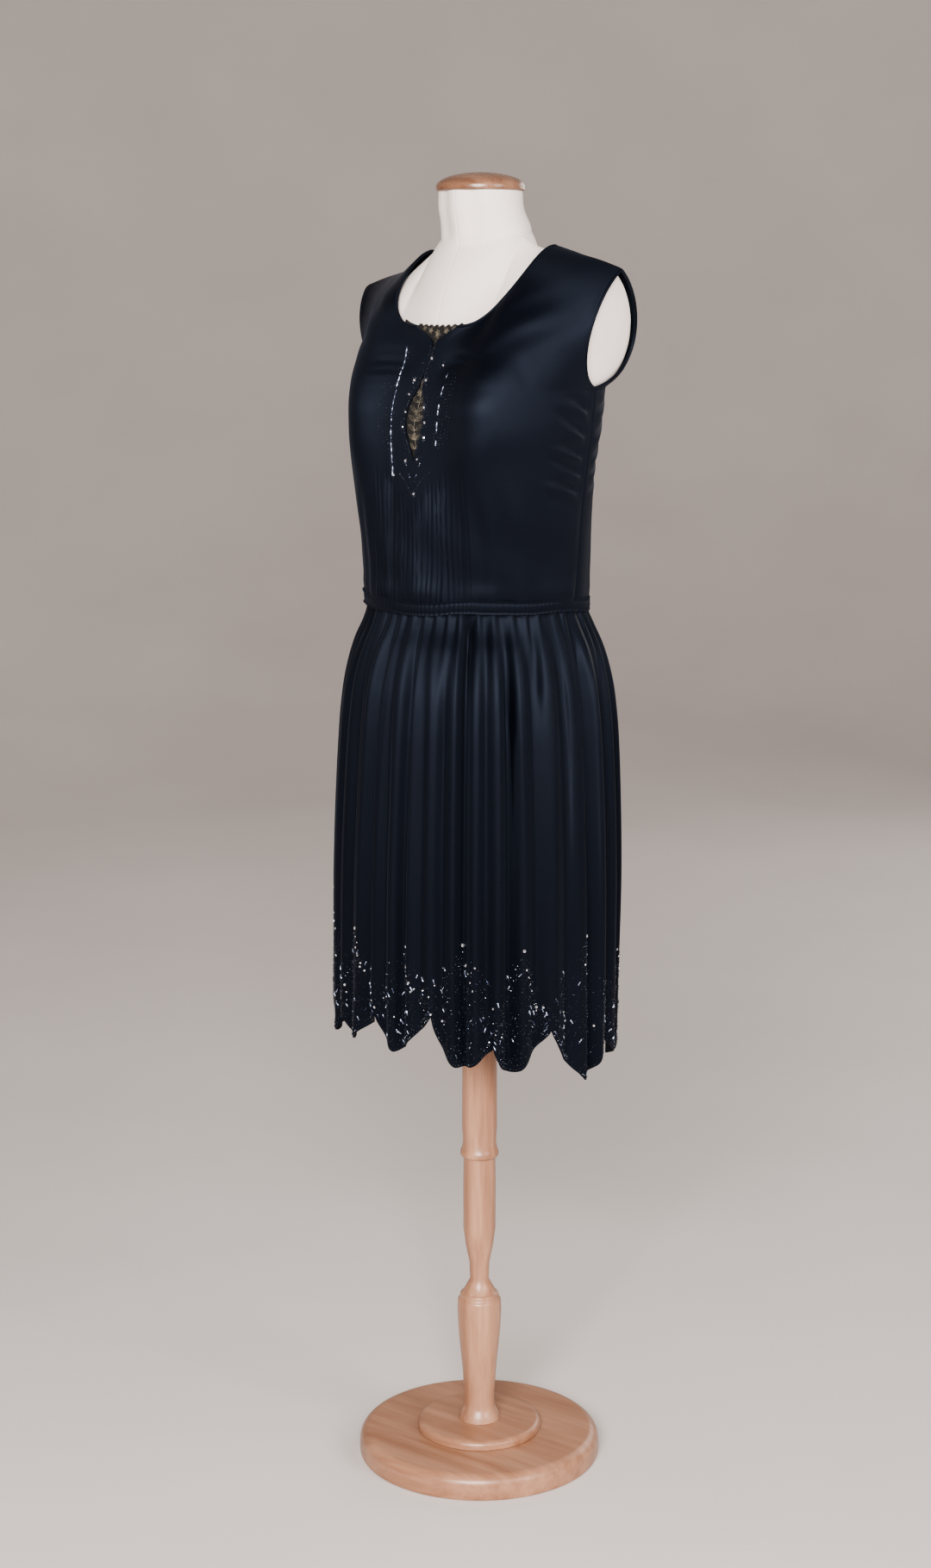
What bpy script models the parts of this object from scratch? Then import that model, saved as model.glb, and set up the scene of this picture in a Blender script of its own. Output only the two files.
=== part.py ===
"""A sleeveless evening dress of dark satin, on a padded dress form with a turned wooden stand.

Metres, +Z up. The dress faces -Y, and the wearer's left is +X.
The origin is the centre of the base's underside, on the floor.
"""

from collections import namedtuple
from math import pi, radians

import bmesh
import bpy
import numpy as np

GAP = 0.0003  # between pieces that touch
CLOTH = 0.0015  # wall of the satin
NET = 0.001  # wall of the net insert
NET_BEHIND = 0.0022  # from the satin back to the net
FORM_LIFT = -0.003  # the form's shoulders lie a little under the table's line
EASE = 0.0041  # from the form to the outside of the cloth that lies on it

# Heights
CHEST_Z = 1.402  # underarm level
SEAM_Z = 1.141  # where bodice and skirt meet
FORM_BOTTOM_Z = 0.900
NECK_TOP_Z = 1.6375

# Neck and shoulders of the form
NECK_RADIUS = 0.0515
NECK_ROOT = 0.0585  # radius where the neck runs out into the shoulders
NECK_ROOT_Y = 0.012
NECK_FRONT_Z = 1.570
NECK_SIDE_Z = 1.588
NECK_BACK_Z = 1.598
NECK_SHARE = 1 / 3  # share of a panel's width that runs up to the neck
LEFT_TIP_X = 0.1895
RIGHT_TIP_X = 0.1995
TIP_Y = 0.025
YOKE_RISE = 0.19

# Bust
BUST_X = 0.097
BUST_Z = 1.383
BUST_WIDTH = 0.040
BUST_RISE = 0.024
BUST_ABOVE = 0.065
BUST_BELOW_FORM = 0.050
BUST_BELOW_CLOTH = 0.130

# Band at the seam
BAND_BELOW = 0.008
BAND_ABOVE = 0.008
BAND_THICK = 0.0022
ROLL_RADIUS = 0.0016  # rolled edges of neckline and armholes

# Stand
BASE_RADIUS = 0.1585
BASE_THICK = 0.032
BOSS_RADIUS = 0.0815
BOSS_THICK = 0.012
JOINT_Z = 0.408  # where the two lengths of the pole meet
POLE_RADIUS = 0.0222

# Grid sizes
COLUMNS = 15  # of the form, from centre front to the side
CHEST_ROWS = 8
PLATE_COLUMNS = 3
SKIRT_ROWS = (0.0, 0.011, 0.038, 0.10, 0.25)  # distances below the seam
PETAL_TOP_Z = 0.652
SKIRT_GATHERS = 48
COLUMNS_PER_GATHER = 4

# Half a section is an ellipse at power 2, and squarer above that
Section = namedtuple("Section", "z half_width front back side_y front_power back_power", defaults=(2.0,))
# The padded form below the underarm, from its bottom edge to the chest line
FORM = [
    Section(0.900, 0.152, 0.114, 0.120, 0.000, 2.0),
    Section(0.915, 0.160, 0.122, 0.128, 0.000, 2.0),
    Section(0.965, 0.163, 0.126, 0.131, 0.000, 2.0),
    Section(1.050, 0.148, 0.117, 0.113, 0.001, 2.0),
    Section(1.150, 0.124, 0.102, 0.089, 0.004, 2.1),
    Section(1.230, 0.127, 0.103, 0.085, 0.009, 2.3),
    Section(1.310, 0.142, 0.115, 0.083, 0.014, 2.5, 2.10),
    Section(1.370, 0.150, 0.1300, 0.081, 0.020, 2.6, 2.20),
    Section(1.402, 0.1505, 0.1290, 0.079, 0.0241, 2.6, 2.25),
]
# The outside of the bodice, from the seam to the chest line
BODICE = [
    Section(1.130, 0.1460, 0.134, 0.113, 0.000, 2.05),
    Section(1.190, 0.1485, 0.136, 0.103, 0.003, 2.20),
    Section(1.265, 0.1520, 0.138, 0.097, 0.007, 2.40),
    Section(1.320, 0.1550, 0.138, 0.093, 0.013, 2.70, 2.05),
    Section(1.380, 0.1570, 0.138, 0.089, 0.021, 3.05, 2.25),
    Section(1.402, 0.1575, 0.137, 0.087, 0.024, 3.15, 2.30),
]
# The ridges of the skirt's folds, from the hem up to the seam
SKIRT = [
    Section(0.540, 0.193, 0.188, 0.139, 0.000, 2.00),
    Section(0.590, 0.193, 0.187, 0.141, 0.000, 2.00),
    Section(0.690, 0.193, 0.186, 0.148, 0.000, 2.00),
    Section(0.800, 0.192, 0.184, 0.157, 0.000, 2.00),
    Section(0.912, 0.188, 0.178, 0.159, 0.000, 2.00),
    Section(0.956, 0.1855, 0.175, 0.159, 0.000, 2.00),
    Section(1.001, 0.182, 0.171, 0.157, 0.000, 2.00),
    Section(1.045, 0.1755, 0.164, 0.152, 0.000, 2.00),
    Section(1.089, 0.163, 0.150, 0.136, 0.000, 2.00),
    Section(1.116, 0.1510, 0.138, 0.1200, 0.000, 2.00),
    Section(1.129, 0.1458, 0.1338, 0.1125, 0.000, 2.05),
    Section(1.150, 0.1455, 0.1332, 0.1090, 0.001, 2.10),
]

ShoulderPoint = namedtuple("ShoulderPoint", "share z")
# The form's shoulder line, from the neck out to the tip of the shoulder
SHOULDER = [
    ShoulderPoint(0.00, 1.588),
    ShoulderPoint(0.12, 1.577),
    ShoulderPoint(0.27, 1.569),
    ShoulderPoint(0.53, 1.558),
    ShoulderPoint(0.79, 1.549),
    ShoulderPoint(1.00, 1.540),
]
RIGHT_DROP = 0.018  # how much lower the wearer's right shoulder hangs at its tip

Armhole = namedtuple("Armhole", "swing_out swing_in lean")
FRONT_ARMHOLE = Armhole(0.17, 0.13, 0.03)
BACK_ARMHOLE = Armhole(0.27, 0.24, 0.06)

# The neckline, by how far out it crosses each shoulder and how low it dips
NECKLINE_LEFT_X = 0.0995
NECKLINE_RIGHT_X = 0.0900
# Added to the power of the front neckline on the wearer's right
NECKLINE_RIGHT_SQUARER = 0.5
NECKLINE_TOP_Z = 1.574
Neckline = namedtuple("Neckline", "bottom_z power")
FRONT_NECKLINE = Neckline(1.476, 2.5)
BACK_NECKLINE = Neckline(1.526, 2.4)

SlitPoint = namedtuple("SlitPoint", "z half_width")
# The opening at centre front that the net fills: a long leaf shape below, a notch at the neckline
SLIT = [
    SlitPoint(1.310, 0.0000),
    SlitPoint(1.340, 0.0095),
    SlitPoint(1.370, 0.0150),
    SlitPoint(1.400, 0.0115),
    SlitPoint(1.430, 0.0045),
    SlitPoint(1.452, 0.0035),
    SlitPoint(1.463, 0.0120),
    SlitPoint(1.480, 0.0330),
]
SLIT_REACH = 0.100  # how far to the side the cloth gives way for it

Valley = namedtuple("Valley", "turn depth start")
# Valleys of the skirt's folds on the side the camera sees: where, how deep, and how far below the seam
# they reach full depth. The far side has the same folds again, turned by half a circle.
VALLEYS = [
    Valley(-48.0, 0.010, 0.20),
    Valley(-37.0, 0.013, 0.12),
    Valley(-25.0, 0.010, 0.20),
    Valley(-12.6, 0.014, 0.10),
    Valley(-3.0, 0.007, 0.26),
    Valley(5.7, 0.013, 0.12),
    Valley(14.5, 0.006, 0.24),
    Valley(22.7, 0.010, 0.18),
    Valley(31.5, 0.018, 0.06),
    Valley(40.5, 0.009, 0.16),
    Valley(49.7, 0.016, 0.14),
    Valley(60.5, 0.012, 0.10),
    Valley(74.0, 0.010, 0.12),
    Valley(85.8, 0.015, 0.10),
    Valley(97.0, 0.009, 0.16),
    Valley(108.0, 0.013, 0.12),
    Valley(120.0, 0.010, 0.18),
]

Petal = namedtuple("Petal", "notch_turn notch_z tip_z lean", defaults=(0.0,))
# Petals of the hem, each with the notch at its start; lean moves the tip to one side
PETALS = [
    Petal(-33.0, 0.630, 0.592, -0.14),
    Petal(-7.0, 0.633, 0.592, -0.12),
    Petal(19.0, 0.643, 0.579),
    Petal(43.0, 0.606, 0.573, -0.20),
    Petal(65.5, 0.624, 0.551, 0.09),
    Petal(96.0, 0.598, 0.564),
    Petal(122.0, 0.614, 0.562),
    Petal(148.0, 0.620, 0.568, -0.05),
    Petal(173.0, 0.612, 0.572),
    Petal(198.0, 0.622, 0.570, 0.05),
    Petal(224.0, 0.614, 0.578),
    Petal(250.0, 0.624, 0.580),
    Petal(277.0, 0.618, 0.588, 0.04),
    Petal(302.0, 0.628, 0.584),
]

Turned = namedtuple("Turned", "z radius")
# Turned profile of the lower length of the pole, from the boss up
FOOT = [
    Turned(0.0443, 0.0275),
    Turned(0.0520, 0.0250),
    Turned(0.0600, 0.0212),
    Turned(0.0720, 0.0200),
    Turned(0.0950, 0.0212),
    Turned(0.1200, 0.0230),
    Turned(0.1500, 0.0260),
    Turned(0.1800, 0.0283),
    Turned(0.2050, 0.0287),
    Turned(0.2110, 0.0280),
    Turned(0.2150, 0.0255),
    Turned(0.2190, 0.0250),
    Turned(0.2215, 0.0218),
    Turned(0.3100, 0.0212),
    Turned(0.4000, 0.0208),
    Turned(JOINT_Z - GAP, 0.0205),
]
SLEEVE = [
    Turned(JOINT_Z, 0.0235),
    Turned(0.4100, 0.0248),
    Turned(0.4150, 0.0248),
    Turned(0.4190, 0.0233),
    Turned(0.4500, 0.0230),
    Turned(0.5500, 0.0226),
    Turned(FORM_BOTTOM_Z - GAP, POLE_RADIUS),
]


def clear_scene():
    for thing in list(bpy.data.objects):
        bpy.data.objects.remove(thing)


def material(name, colour, roughness, metallic=0.0):
    made = bpy.data.materials.new(name)
    made.use_nodes = True
    shader = made.node_tree.nodes["Principled BSDF"]
    shader.inputs["Base Color"].default_value = (*colour, 1.0)
    shader.inputs["Roughness"].default_value = roughness
    shader.inputs["Metallic"].default_value = metallic
    return made


def smooth(at, known, values):
    """Values on a smooth curve through the known points."""
    known, values = np.asarray(known, float), np.asarray(values, float)
    slope = np.gradient(values, known)
    k = np.clip(np.searchsorted(known, at) - 1, 0, len(known) - 2)
    width = known[k + 1] - known[k]
    s = np.clip((at - known[k]) / width, 0.0, 1.0)
    start = (2 * s**3 - 3 * s**2 + 1) * values[k] + (s**3 - 2 * s**2 + s) * width * slope[k]
    end = (3 * s**2 - 2 * s**3) * values[k + 1] + (s**3 - s**2) * width * slope[k + 1]
    return start + end


def column(rows, name, at, key="z"):
    return smooth(at, [getattr(row, key) for row in rows], [getattr(row, name) for row in rows])


def ease_in(x):
    """Zero below 0, one above 1, and smooth between."""
    x = np.clip(x, 0.0, 1.0)
    return x * x * (3 - 2 * x)


def points(x, y, z):
    return np.stack(np.broadcast_arrays(x, y, z), axis=-1).astype(float)


def section(rows, turn, z):
    """Points on a rounded section. Turn is 0 at centre front and grows towards the wearer's left."""
    sine, cosine = np.sin(turn), np.cos(turn)
    depth = np.where(cosine > 0, column(rows, "front", z), column(rows, "back", z))
    power = np.where(cosine > 0, column(rows, "front_power", z), column(rows, "back_power", z))
    wide, deep = np.abs(sine) / column(rows, "half_width", z), np.abs(cosine) / depth
    radius = (wide**power + deep**power) ** (-1 / power)
    return points(radius * sine, column(rows, "side_y", z) - radius * cosine, z)


def bust(turn, z, x, below):
    """How far the bust pushes the front forward."""
    across = np.exp(-(((np.abs(x) - BUST_X) / BUST_WIDTH) ** 2))
    reach = np.where(z < BUST_Z, below, BUST_ABOVE)
    return BUST_RISE * across * np.exp(-(((z - BUST_Z) / reach) ** 2)) * ease_in(np.cos(turn) / 0.35)


def form_wall(turn, z):
    """The form's surface below the chest line."""
    surface = section(FORM, turn, z)
    surface[..., 1] -= bust(turn, z, surface[..., 0], BUST_BELOW_FORM)
    return surface


def bodice_wall(turn, z):
    """The outside of the bodice below the chest line."""
    surface = section(BODICE, turn, z)
    surface[..., 1] -= bust(turn, z, surface[..., 0], BUST_BELOW_CLOTH)
    return surface


def mix(a, b, share):
    return a + (b - a) * share[..., None]


def top_line(lift, front, side, wide):
    """The upper end of the chest: round the root of the neck, then out along the shoulder."""
    sign = 1.0 if front else -1.0
    angle = pi / 2 * np.clip(wide / NECK_SHARE, 0.0, 1.0)
    along = np.clip((wide - NECK_SHARE) / (1 - NECK_SHARE), 0.0, 1.0)
    root = NECK_ROOT + lift
    end_z = NECK_FRONT_Z if front else NECK_BACK_Z
    neck = points(
        side * root * np.sin(angle),
        NECK_ROOT_Y - sign * root * np.cos(angle),
        NECK_SIDE_Z + (end_z - NECK_SIDE_Z) * np.cos(angle) ** 2 + lift * np.sin(angle) ** 2,
    )
    ridge_x = root + (np.where(side < 0, RIGHT_TIP_X, LEFT_TIP_X) + lift - root) * along
    drop = RIGHT_DROP * (side < 0) * ease_in(along * 2.4)
    ridge = points(
        side * ridge_x,
        NECK_ROOT_Y + (TIP_Y - NECK_ROOT_Y) * ease_in(along * 2),
        column(SHOULDER, "z", along, key="share") + lift - drop,
    )
    return mix(neck, ridge, (wide > NECK_SHARE).astype(float))


def yoke(wall, lift, front, across, up):
    """The surface from the chest line up to the neck and shoulders.

    Across runs from -1 at the right armhole to 1 at the left, and up from 0 to 1. Lift is how far
    the surface lies above the form.
    """
    across, up = np.broadcast_arrays(np.asarray(across, float), np.asarray(up, float))
    sign = 1.0 if front else -1.0
    side = np.sign(across)
    wide = np.abs(across)
    turn = across * pi / 2 if front else pi - across * pi / 2
    start = wall(turn, np.full_like(across, CHEST_Z))
    below = wall(turn, np.full_like(across, CHEST_Z - 0.01))
    rise = (start - below) / 0.01 * YOKE_RISE

    angle = pi / 2 * np.clip(wide / NECK_SHARE, 0.0, 1.0)
    soft = 0.03 * (lift > 0) * ease_in(wide / 0.1) * (1 - ease_in((wide - 0.38) / 0.1))
    end = sum(top_line(lift, front, side, wide + k * soft) for k in (-2, -1, 0, 1, 2)) / 5

    arm = FRONT_ARMHOLE if front else BACK_ARMHOLE
    none = np.zeros_like(across)
    at_neck = points(-side * 0.05 * np.sin(angle), sign * 0.08 * np.cos(angle), none + 0.13)
    tighter = 2.0 * (lift - EASE)
    at_ridge = points(none, none + (0.17 if front else -0.17 - tighter), none + 0.01)
    into = mix(at_neck, at_ridge, ease_in((wide - 0.08) / 0.50))
    edge = ease_in((wide - 0.60) / 0.40)
    swing_out, swing_in = arm.swing_out + tighter, arm.swing_in + tighter
    rise = mix(rise, points(side * 0.03, none - sign * swing_out, none + 0.05), edge)
    into = mix(into, points(side * arm.lean, none + sign * swing_in, none + 0.10), edge)

    s = up[..., None]
    return (
        (2 * s**3 - 3 * s**2 + 1) * start
        + (s**3 - 2 * s**2 + s) * rise
        + (3 * s**2 - 2 * s**3) * end
        + (s**3 - s**2) * into
    )


def neckline_x(across):
    return np.where(across < 0, NECKLINE_RIGHT_X, NECKLINE_LEFT_X)


def neckline_height(front, across):
    """How far up each column of the bodice runs: to the neckline, or to the shoulder."""
    line = FRONT_NECKLINE if front else BACK_NECKLINE

    def inside(up):
        p = yoke(bodice_wall, EASE, front, across, up)
        wide = np.abs(p[..., 0]) / neckline_x(across)
        deep = (NECKLINE_TOP_Z - p[..., 2]) / (NECKLINE_TOP_Z - line.bottom_z)
        power = line.power + np.where((across < 0) & front, NECKLINE_RIGHT_SQUARER, 0.0)
        return wide**power + np.clip(deep, 0.0, None) ** power < 1

    low, high = np.zeros_like(across), np.ones_like(across)
    reaches = ~inside(high)
    for _ in range(30):
        middle = (low + high) / 2
        cut = inside(middle)
        low, high = np.where(cut, low, middle), np.where(cut, middle, high)
    return np.where(reaches, 1.0, low)


def crossing_columns():
    """The columns, right and left, that end where the neckline crosses the shoulder."""
    side, tip, root = np.array([-1.0, 1.0]), np.array([RIGHT_TIP_X, LEFT_TIP_X]), NECK_ROOT + EASE
    share = (neckline_x(side) - root) / (tip + EASE - root)
    return side * (NECK_SHARE + (1 - NECK_SHARE) * share + 1e-6)


def snap_to_neckline(columns):
    """Puts a column on each side where the neckline crosses the shoulder, and two just inside it."""
    for at in crossing_columns():
        columns[np.argmin(np.abs(columns - at))] = at
        columns = np.append(columns, [at - np.sign(at) * 0.010, at - np.sign(at) * 0.030])
    return np.sort(columns)


def seam_z(turn):
    """The seam between bodice and skirt, which wanders a little."""
    return SEAM_Z + 0.0025 * np.cos(3 * (turn - radians(50))) - 0.0015 * np.cos(7 * turn - 1.0)


def open_slit(surface):
    """Pushes the front apart at centre front, where the net shows."""
    x, z = surface[..., 0], surface[..., 2]
    wide = np.where(z < SLIT[0].z, 0.0, np.clip(column(SLIT, "half_width", z), 0.0, None))
    surface[..., 0] = x + wide * np.clip(1 - x / SLIT_REACH, 0.0, 1.0) ** 2
    return surface


def tucks(z, x):
    """Depth of the soft tucks that fall from the beaded panel to the seam."""
    below = ease_in((1.300 - z) / 0.05)
    near = ease_in((0.085 - np.abs(x + 0.006)) / 0.035)
    return 0.0020 * below * near * (0.5 + 0.5 * np.cos(2 * pi * x / 0.0145))


def side_gathers(turn, z):
    """Depth of the short gathers at each side seam, below the armhole."""
    place = ease_in((np.abs(turn) - radians(62)) / radians(8))
    place *= ease_in((radians(89) - np.abs(turn)) / radians(7))
    tall = ease_in((z - 1.285) / 0.02) * ease_in((1.395 - z) / 0.02)
    return 0.0026 * place * tall * (0.5 + 0.5 * np.cos(2 * pi * (z - 1.30) / 0.0185))


def normals(grid, wrap):
    """Unit normals of a grid of points, rows upward and columns towards the wearer's left."""
    if wrap:
        across = np.roll(grid, -1, axis=1) - np.roll(grid, 1, axis=1)
    else:
        across = np.gradient(grid, axis=1)
    up = np.gradient(grid, axis=0)
    normal = np.cross(across, up)
    return normal / np.maximum(np.linalg.norm(normal, axis=-1, keepdims=True), 1e-12)


def add_object(name, bm, finish, sharp_degrees=40):
    bmesh.ops.remove_doubles(bm, verts=bm.verts, dist=1e-6)
    bmesh.ops.dissolve_degenerate(bm, dist=1e-7, edges=bm.edges)
    bmesh.ops.recalc_face_normals(bm, faces=bm.faces)
    mesh = bpy.data.meshes.new(name)
    bm.to_mesh(mesh)
    bm.free()
    mesh.shade_smooth()
    mesh.set_sharp_from_angle(angle=radians(sharp_degrees))
    mesh.materials.append(finish)
    made = bpy.data.objects.new(name, mesh)
    bpy.context.collection.objects.link(made)
    return made


def add_grid(bm, grid, wrap=False):
    """Adds a grid of points as faces and returns its vertices."""
    verts = [[bm.verts.new(p) for p in row] for row in grid]
    across = len(verts[0])
    for low, high in zip(verts, verts[1:]):
        for i in range(across if wrap else across - 1):
            j = (i + 1) % across
            bm.faces.new((low[i], low[j], high[j], high[i]))
    return verts


def add_wall(bm, outer, inner, wrap=False, left=True, right=True):
    """Adds a closed wall between two grids. Left and right say which end columns are closed."""
    out_verts, in_verts = add_grid(bm, outer, wrap), add_grid(bm, inner, wrap)
    edges = [(out_verts[0], in_verts[0]), (out_verts[-1], in_verts[-1])]
    ends = [(left, 0), (right, -1)] if not wrap else []
    edges += [([r[k] for r in out_verts], [r[k] for r in in_verts]) for use, k in ends if use]
    for outside, inside in edges:
        count = len(outside)
        closed = wrap and count == len(out_verts[0])
        for i in range(count if closed else count - 1):
            j = (i + 1) % count
            bm.faces.new((outside[i], outside[j], inside[j], inside[i]))


def spaced(low, high, count):
    return np.linspace(low, high, count)


def seam_row(turn, z):
    """Heights of one row of the bodice: on the seam at the bottom, level at the chest line."""
    return z + (seam_z(turn) + GAP - SEAM_Z) * ease_in((CHEST_Z - z) / (CHEST_Z - SEAM_Z))


def front_grid(across, lower_z, upper_rows):
    """The front, from the seam to the neckline and shoulder."""
    turn = across * pi / 2
    rows = []
    for z in lower_z:
        height = seam_row(turn, z)
        surface = bodice_wall(turn, height)
        x = surface[..., 0]
        inward = tucks(height, x) + side_gathers(turn, height)
        out = np.stack([np.sin(turn), -np.cos(turn), 0 * turn], axis=-1)
        rows.append(surface - out * inward[..., None])
    tops = neckline_height(True, across)
    for step in range(1, upper_rows + 1):
        rows.append(yoke(bodice_wall, EASE, True, across, tops * step / upper_rows))
    return np.array(rows)


def part_seams(outer, inner, tops, sign, lower_count):
    """Draws back the edges at the side and shoulder seams, so that front and back leave a gap."""
    for k in (0, -1):
        for grid in (outer, inner):
            side = column(BODICE, "side_y", grid[:lower_count, k, 2])
            grid[:lower_count, k, 1] = side - sign * GAP
    on_shoulder = tops >= 1.0
    outer[-1, on_shoulder, 1] -= sign * GAP
    inner[-1, on_shoulder, 1] = outer[-1, on_shoulder, 1]
    inner[-1, on_shoulder, 2] = outer[-1, on_shoulder, 2] - CLOTH


def front_surface():
    """Columns and outer grid of the front, before the slit is opened."""
    half = np.concatenate([spaced(0.0, 0.42, 12), spaced(0.42, 1.0, 9)[1:]])
    columns = snap_to_neckline(np.concatenate([-half[::-1][:-1], half]))
    lower_z = np.concatenate([spaced(SEAM_Z, 1.280, 4)[:-1], spaced(1.280, CHEST_Z, 10)])
    return columns, lower_z, front_grid(columns, lower_z, CHEST_ROWS)


def bodice_front(finish):
    columns, lower_z, outer = front_surface()
    inner = outer - CLOTH * normals(outer, wrap=False)
    part_seams(outer, inner, neckline_height(True, columns), 1.0, len(lower_z))
    middle = len(columns) // 2
    bm = bmesh.new()
    for side, pick in ((-1.0, slice(0, middle + 1)), (1.0, slice(middle, None))):
        flip = np.array([side, 1.0, 1.0])
        halves = [open_slit(grid[:, pick] * flip) * flip for grid in (outer, inner)]
        add_half(bm, halves[0], halves[1], slit_column=-1 if side < 0 else 0)
    return add_object("bodice_front", bm, finish)


def add_half(bm, outer, inner, slit_column):
    """Adds half of the front. Its centre edge is closed only along the slit."""
    add_wall(bm, outer, inner, left=slit_column == -1, right=slit_column == 0)
    centre_out, centre_in = outer[:, slit_column], inner[:, slit_column]
    open_rows = np.flatnonzero(np.abs(centre_out[:, 0]) > 1e-5)
    first = max(open_rows[0] - 1, 0)
    add_grid(bm, np.stack([centre_out[first:], centre_in[first:]], axis=1))


def back_surface():
    """Columns and outer grid of the back."""
    across = snap_to_neckline(spaced(-1.0, 1.0, 2 * COLUMNS + 1))
    turn = pi - across * pi / 2
    lower_z = spaced(SEAM_Z, CHEST_Z, 5)
    outer = [bodice_wall(turn, seam_row(turn, z)) for z in lower_z]
    tops = neckline_height(False, across)
    for step in range(1, CHEST_ROWS + 1):
        outer.append(yoke(bodice_wall, EASE, False, across, tops * step / CHEST_ROWS))
    return across, lower_z, np.array(outer)


def bodice_back(finish):
    across, lower_z, outer = back_surface()
    inner = outer + CLOTH * normals(outer, wrap=False)
    part_seams(outer, inner, neckline_height(False, across), -1.0, len(lower_z))
    bm = bmesh.new()
    add_wall(bm, outer, inner)
    return add_object("bodice_back", bm, finish)


def front_insert(finish):
    """The net behind the slit, from below its point to the neckline. It follows the front's points."""
    columns, lower_z, surface = front_surface()
    wide = np.flatnonzero(np.abs(columns) < 0.25)[::2]
    first = np.flatnonzero(lower_z > 1.300)[0]
    normal = normals(surface, wrap=False)
    rows = np.arange(len(surface) - 1, first, -2)[::-1]
    picked, normal = surface[np.ix_(rows, wide)], normal[np.ix_(rows, wide)]
    outer = picked - (CLOTH + NET_BEHIND) * normal
    bm = bmesh.new()
    add_wall(bm, outer, outer - NET * normal)
    return add_object("front_insert", bm, finish)


def fold_depth(turn, below):
    """Depth of the skirt's long folds, given the distance below the seam."""
    degrees = np.degrees(turn) % 360.0
    rows = sorted(
        [row._replace(turn=row.turn % 360.0) for row in VALLEYS]
        + [row._replace(turn=(row.turn + 180.0 + 4.0) % 360.0) for row in VALLEYS[1:-1]],
        key=lambda row: row.turn,
    )
    before = rows[-1]._replace(turn=rows[-1].turn - 360.0)
    after = rows[0]._replace(turn=rows[0].turn + 360.0)
    rows = [before, *rows, after]
    at = np.array([row.turn for row in rows])
    k = np.clip(np.searchsorted(at, degrees, side="right") - 1, 0, len(rows) - 2)
    phase = (degrees - at[k]) / (at[k + 1] - at[k])
    depths = [row.depth for row in rows]
    starts = [row.start for row in rows]
    near = np.where(phase < 0.5, k, k + 1)
    depth = np.array(depths)[near] * ease_in(below / np.array(starts)[near])
    return depth * (0.5 + 0.5 * np.cos(2 * pi * phase)) ** 1.4


def gather_depth(turn, below):
    """Depth of the fine gathers just below the seam."""
    fade = ease_in(below / 0.012) * (1 - 0.82 * ease_in(below / 0.16))
    return (0.0004 + 0.0030 * fade) * (0.5 - 0.5 * np.cos(SKIRT_GATHERS * turn))


def hem_z(turn):
    """The petal hem: a rounded tongue between each two notches."""
    degrees = np.degrees(turn)
    starts = np.array([petal.notch_turn for petal in PETALS])
    degrees = (degrees - starts[0]) % 360.0 + starts[0]
    ends = np.append(starts[1:], starts[0] + 360.0)
    k = np.clip(np.searchsorted(starts, degrees + 1e-6, side="right") - 1, 0, len(PETALS) - 1)
    share = np.clip((degrees - starts[k]) / (ends[k] - starts[k]), 0.0, 1.0)
    notches = np.array([petal.notch_z for petal in PETALS])
    tips = np.array([petal.tip_z for petal in PETALS])
    lean = np.array([petal.lean for petal in PETALS])[k]
    edge = notches[k] + (np.roll(notches, -1)[k] - notches[k]) * share
    leaning = np.clip(share - lean * np.sin(pi * share), 0.0, 1.0)
    return edge + (tips[k] - edge) * np.sin(pi * leaning) ** 0.75


def skirt_wall(turn, z):
    """The outside of the skirt at height z."""
    surface = section(SKIRT, turn, z)
    below = np.maximum(seam_z(turn) - z, 0.0)
    inward = fold_depth(turn, below) + gather_depth(turn, below)
    out = np.stack([np.sin(turn), -np.cos(turn), 0 * turn], axis=-1)
    return surface - out * inward[..., None]


def skirt_panel(name, first, last, finish):
    count = SKIRT_GATHERS * COLUMNS_PER_GATHER // 2
    turn = spaced(first, last, count + 1)
    notches = np.radians([petal.notch_turn + lap for petal in PETALS for lap in (0.0, 360.0)])
    for notch in notches[(notches > first + 0.01) & (notches < last - 0.01)]:
        turn[np.argmin(np.abs(turn - notch))] = notch
    top, hem = seam_z(turn) - GAP, hem_z(turn)
    rows = [top - drop for drop in SKIRT_ROWS] + [PETAL_TOP_Z + 0 * turn, hem]
    outer = np.array([skirt_wall(turn, z) for z in rows[::-1]])
    inner = outer - CLOTH * normals(outer, wrap=False)
    for k in (0, -1):
        outer[:, k, 1] -= GAP * np.sign(np.cos((first + last) / 2))
        inner[:, k] = outer[:, k] - CLOTH * np.sign(outer[:, k, :1]) * np.array([1.0, 0.0, 0.0])
    bm = bmesh.new()
    add_wall(bm, outer, inner)
    return add_object(name, bm, finish)


def waist_band(finish):
    turn = spaced(0.0, 2 * pi, 53)[:-1]
    heights = [seam_z(turn) - BAND_BELOW, seam_z(turn), seam_z(turn) + BAND_ABOVE]
    base = [section(BODICE, turn, z) for z in heights]
    for k, surface in enumerate(base):
        surface[..., 1] -= bust(turn, heights[k], surface[..., 0], BUST_BELOW_CLOTH)
    out = np.stack([np.sin(turn), -np.cos(turn), 0 * turn], axis=-1)
    inner = np.array([surface + out * 2.2 * GAP for surface in base])
    outer = inner + BAND_THICK * np.array([out, out * 1.25, out])
    bm = bmesh.new()
    add_wall(bm, outer, inner, wrap=True)
    return add_object("waist_band", bm, finish)


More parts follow.
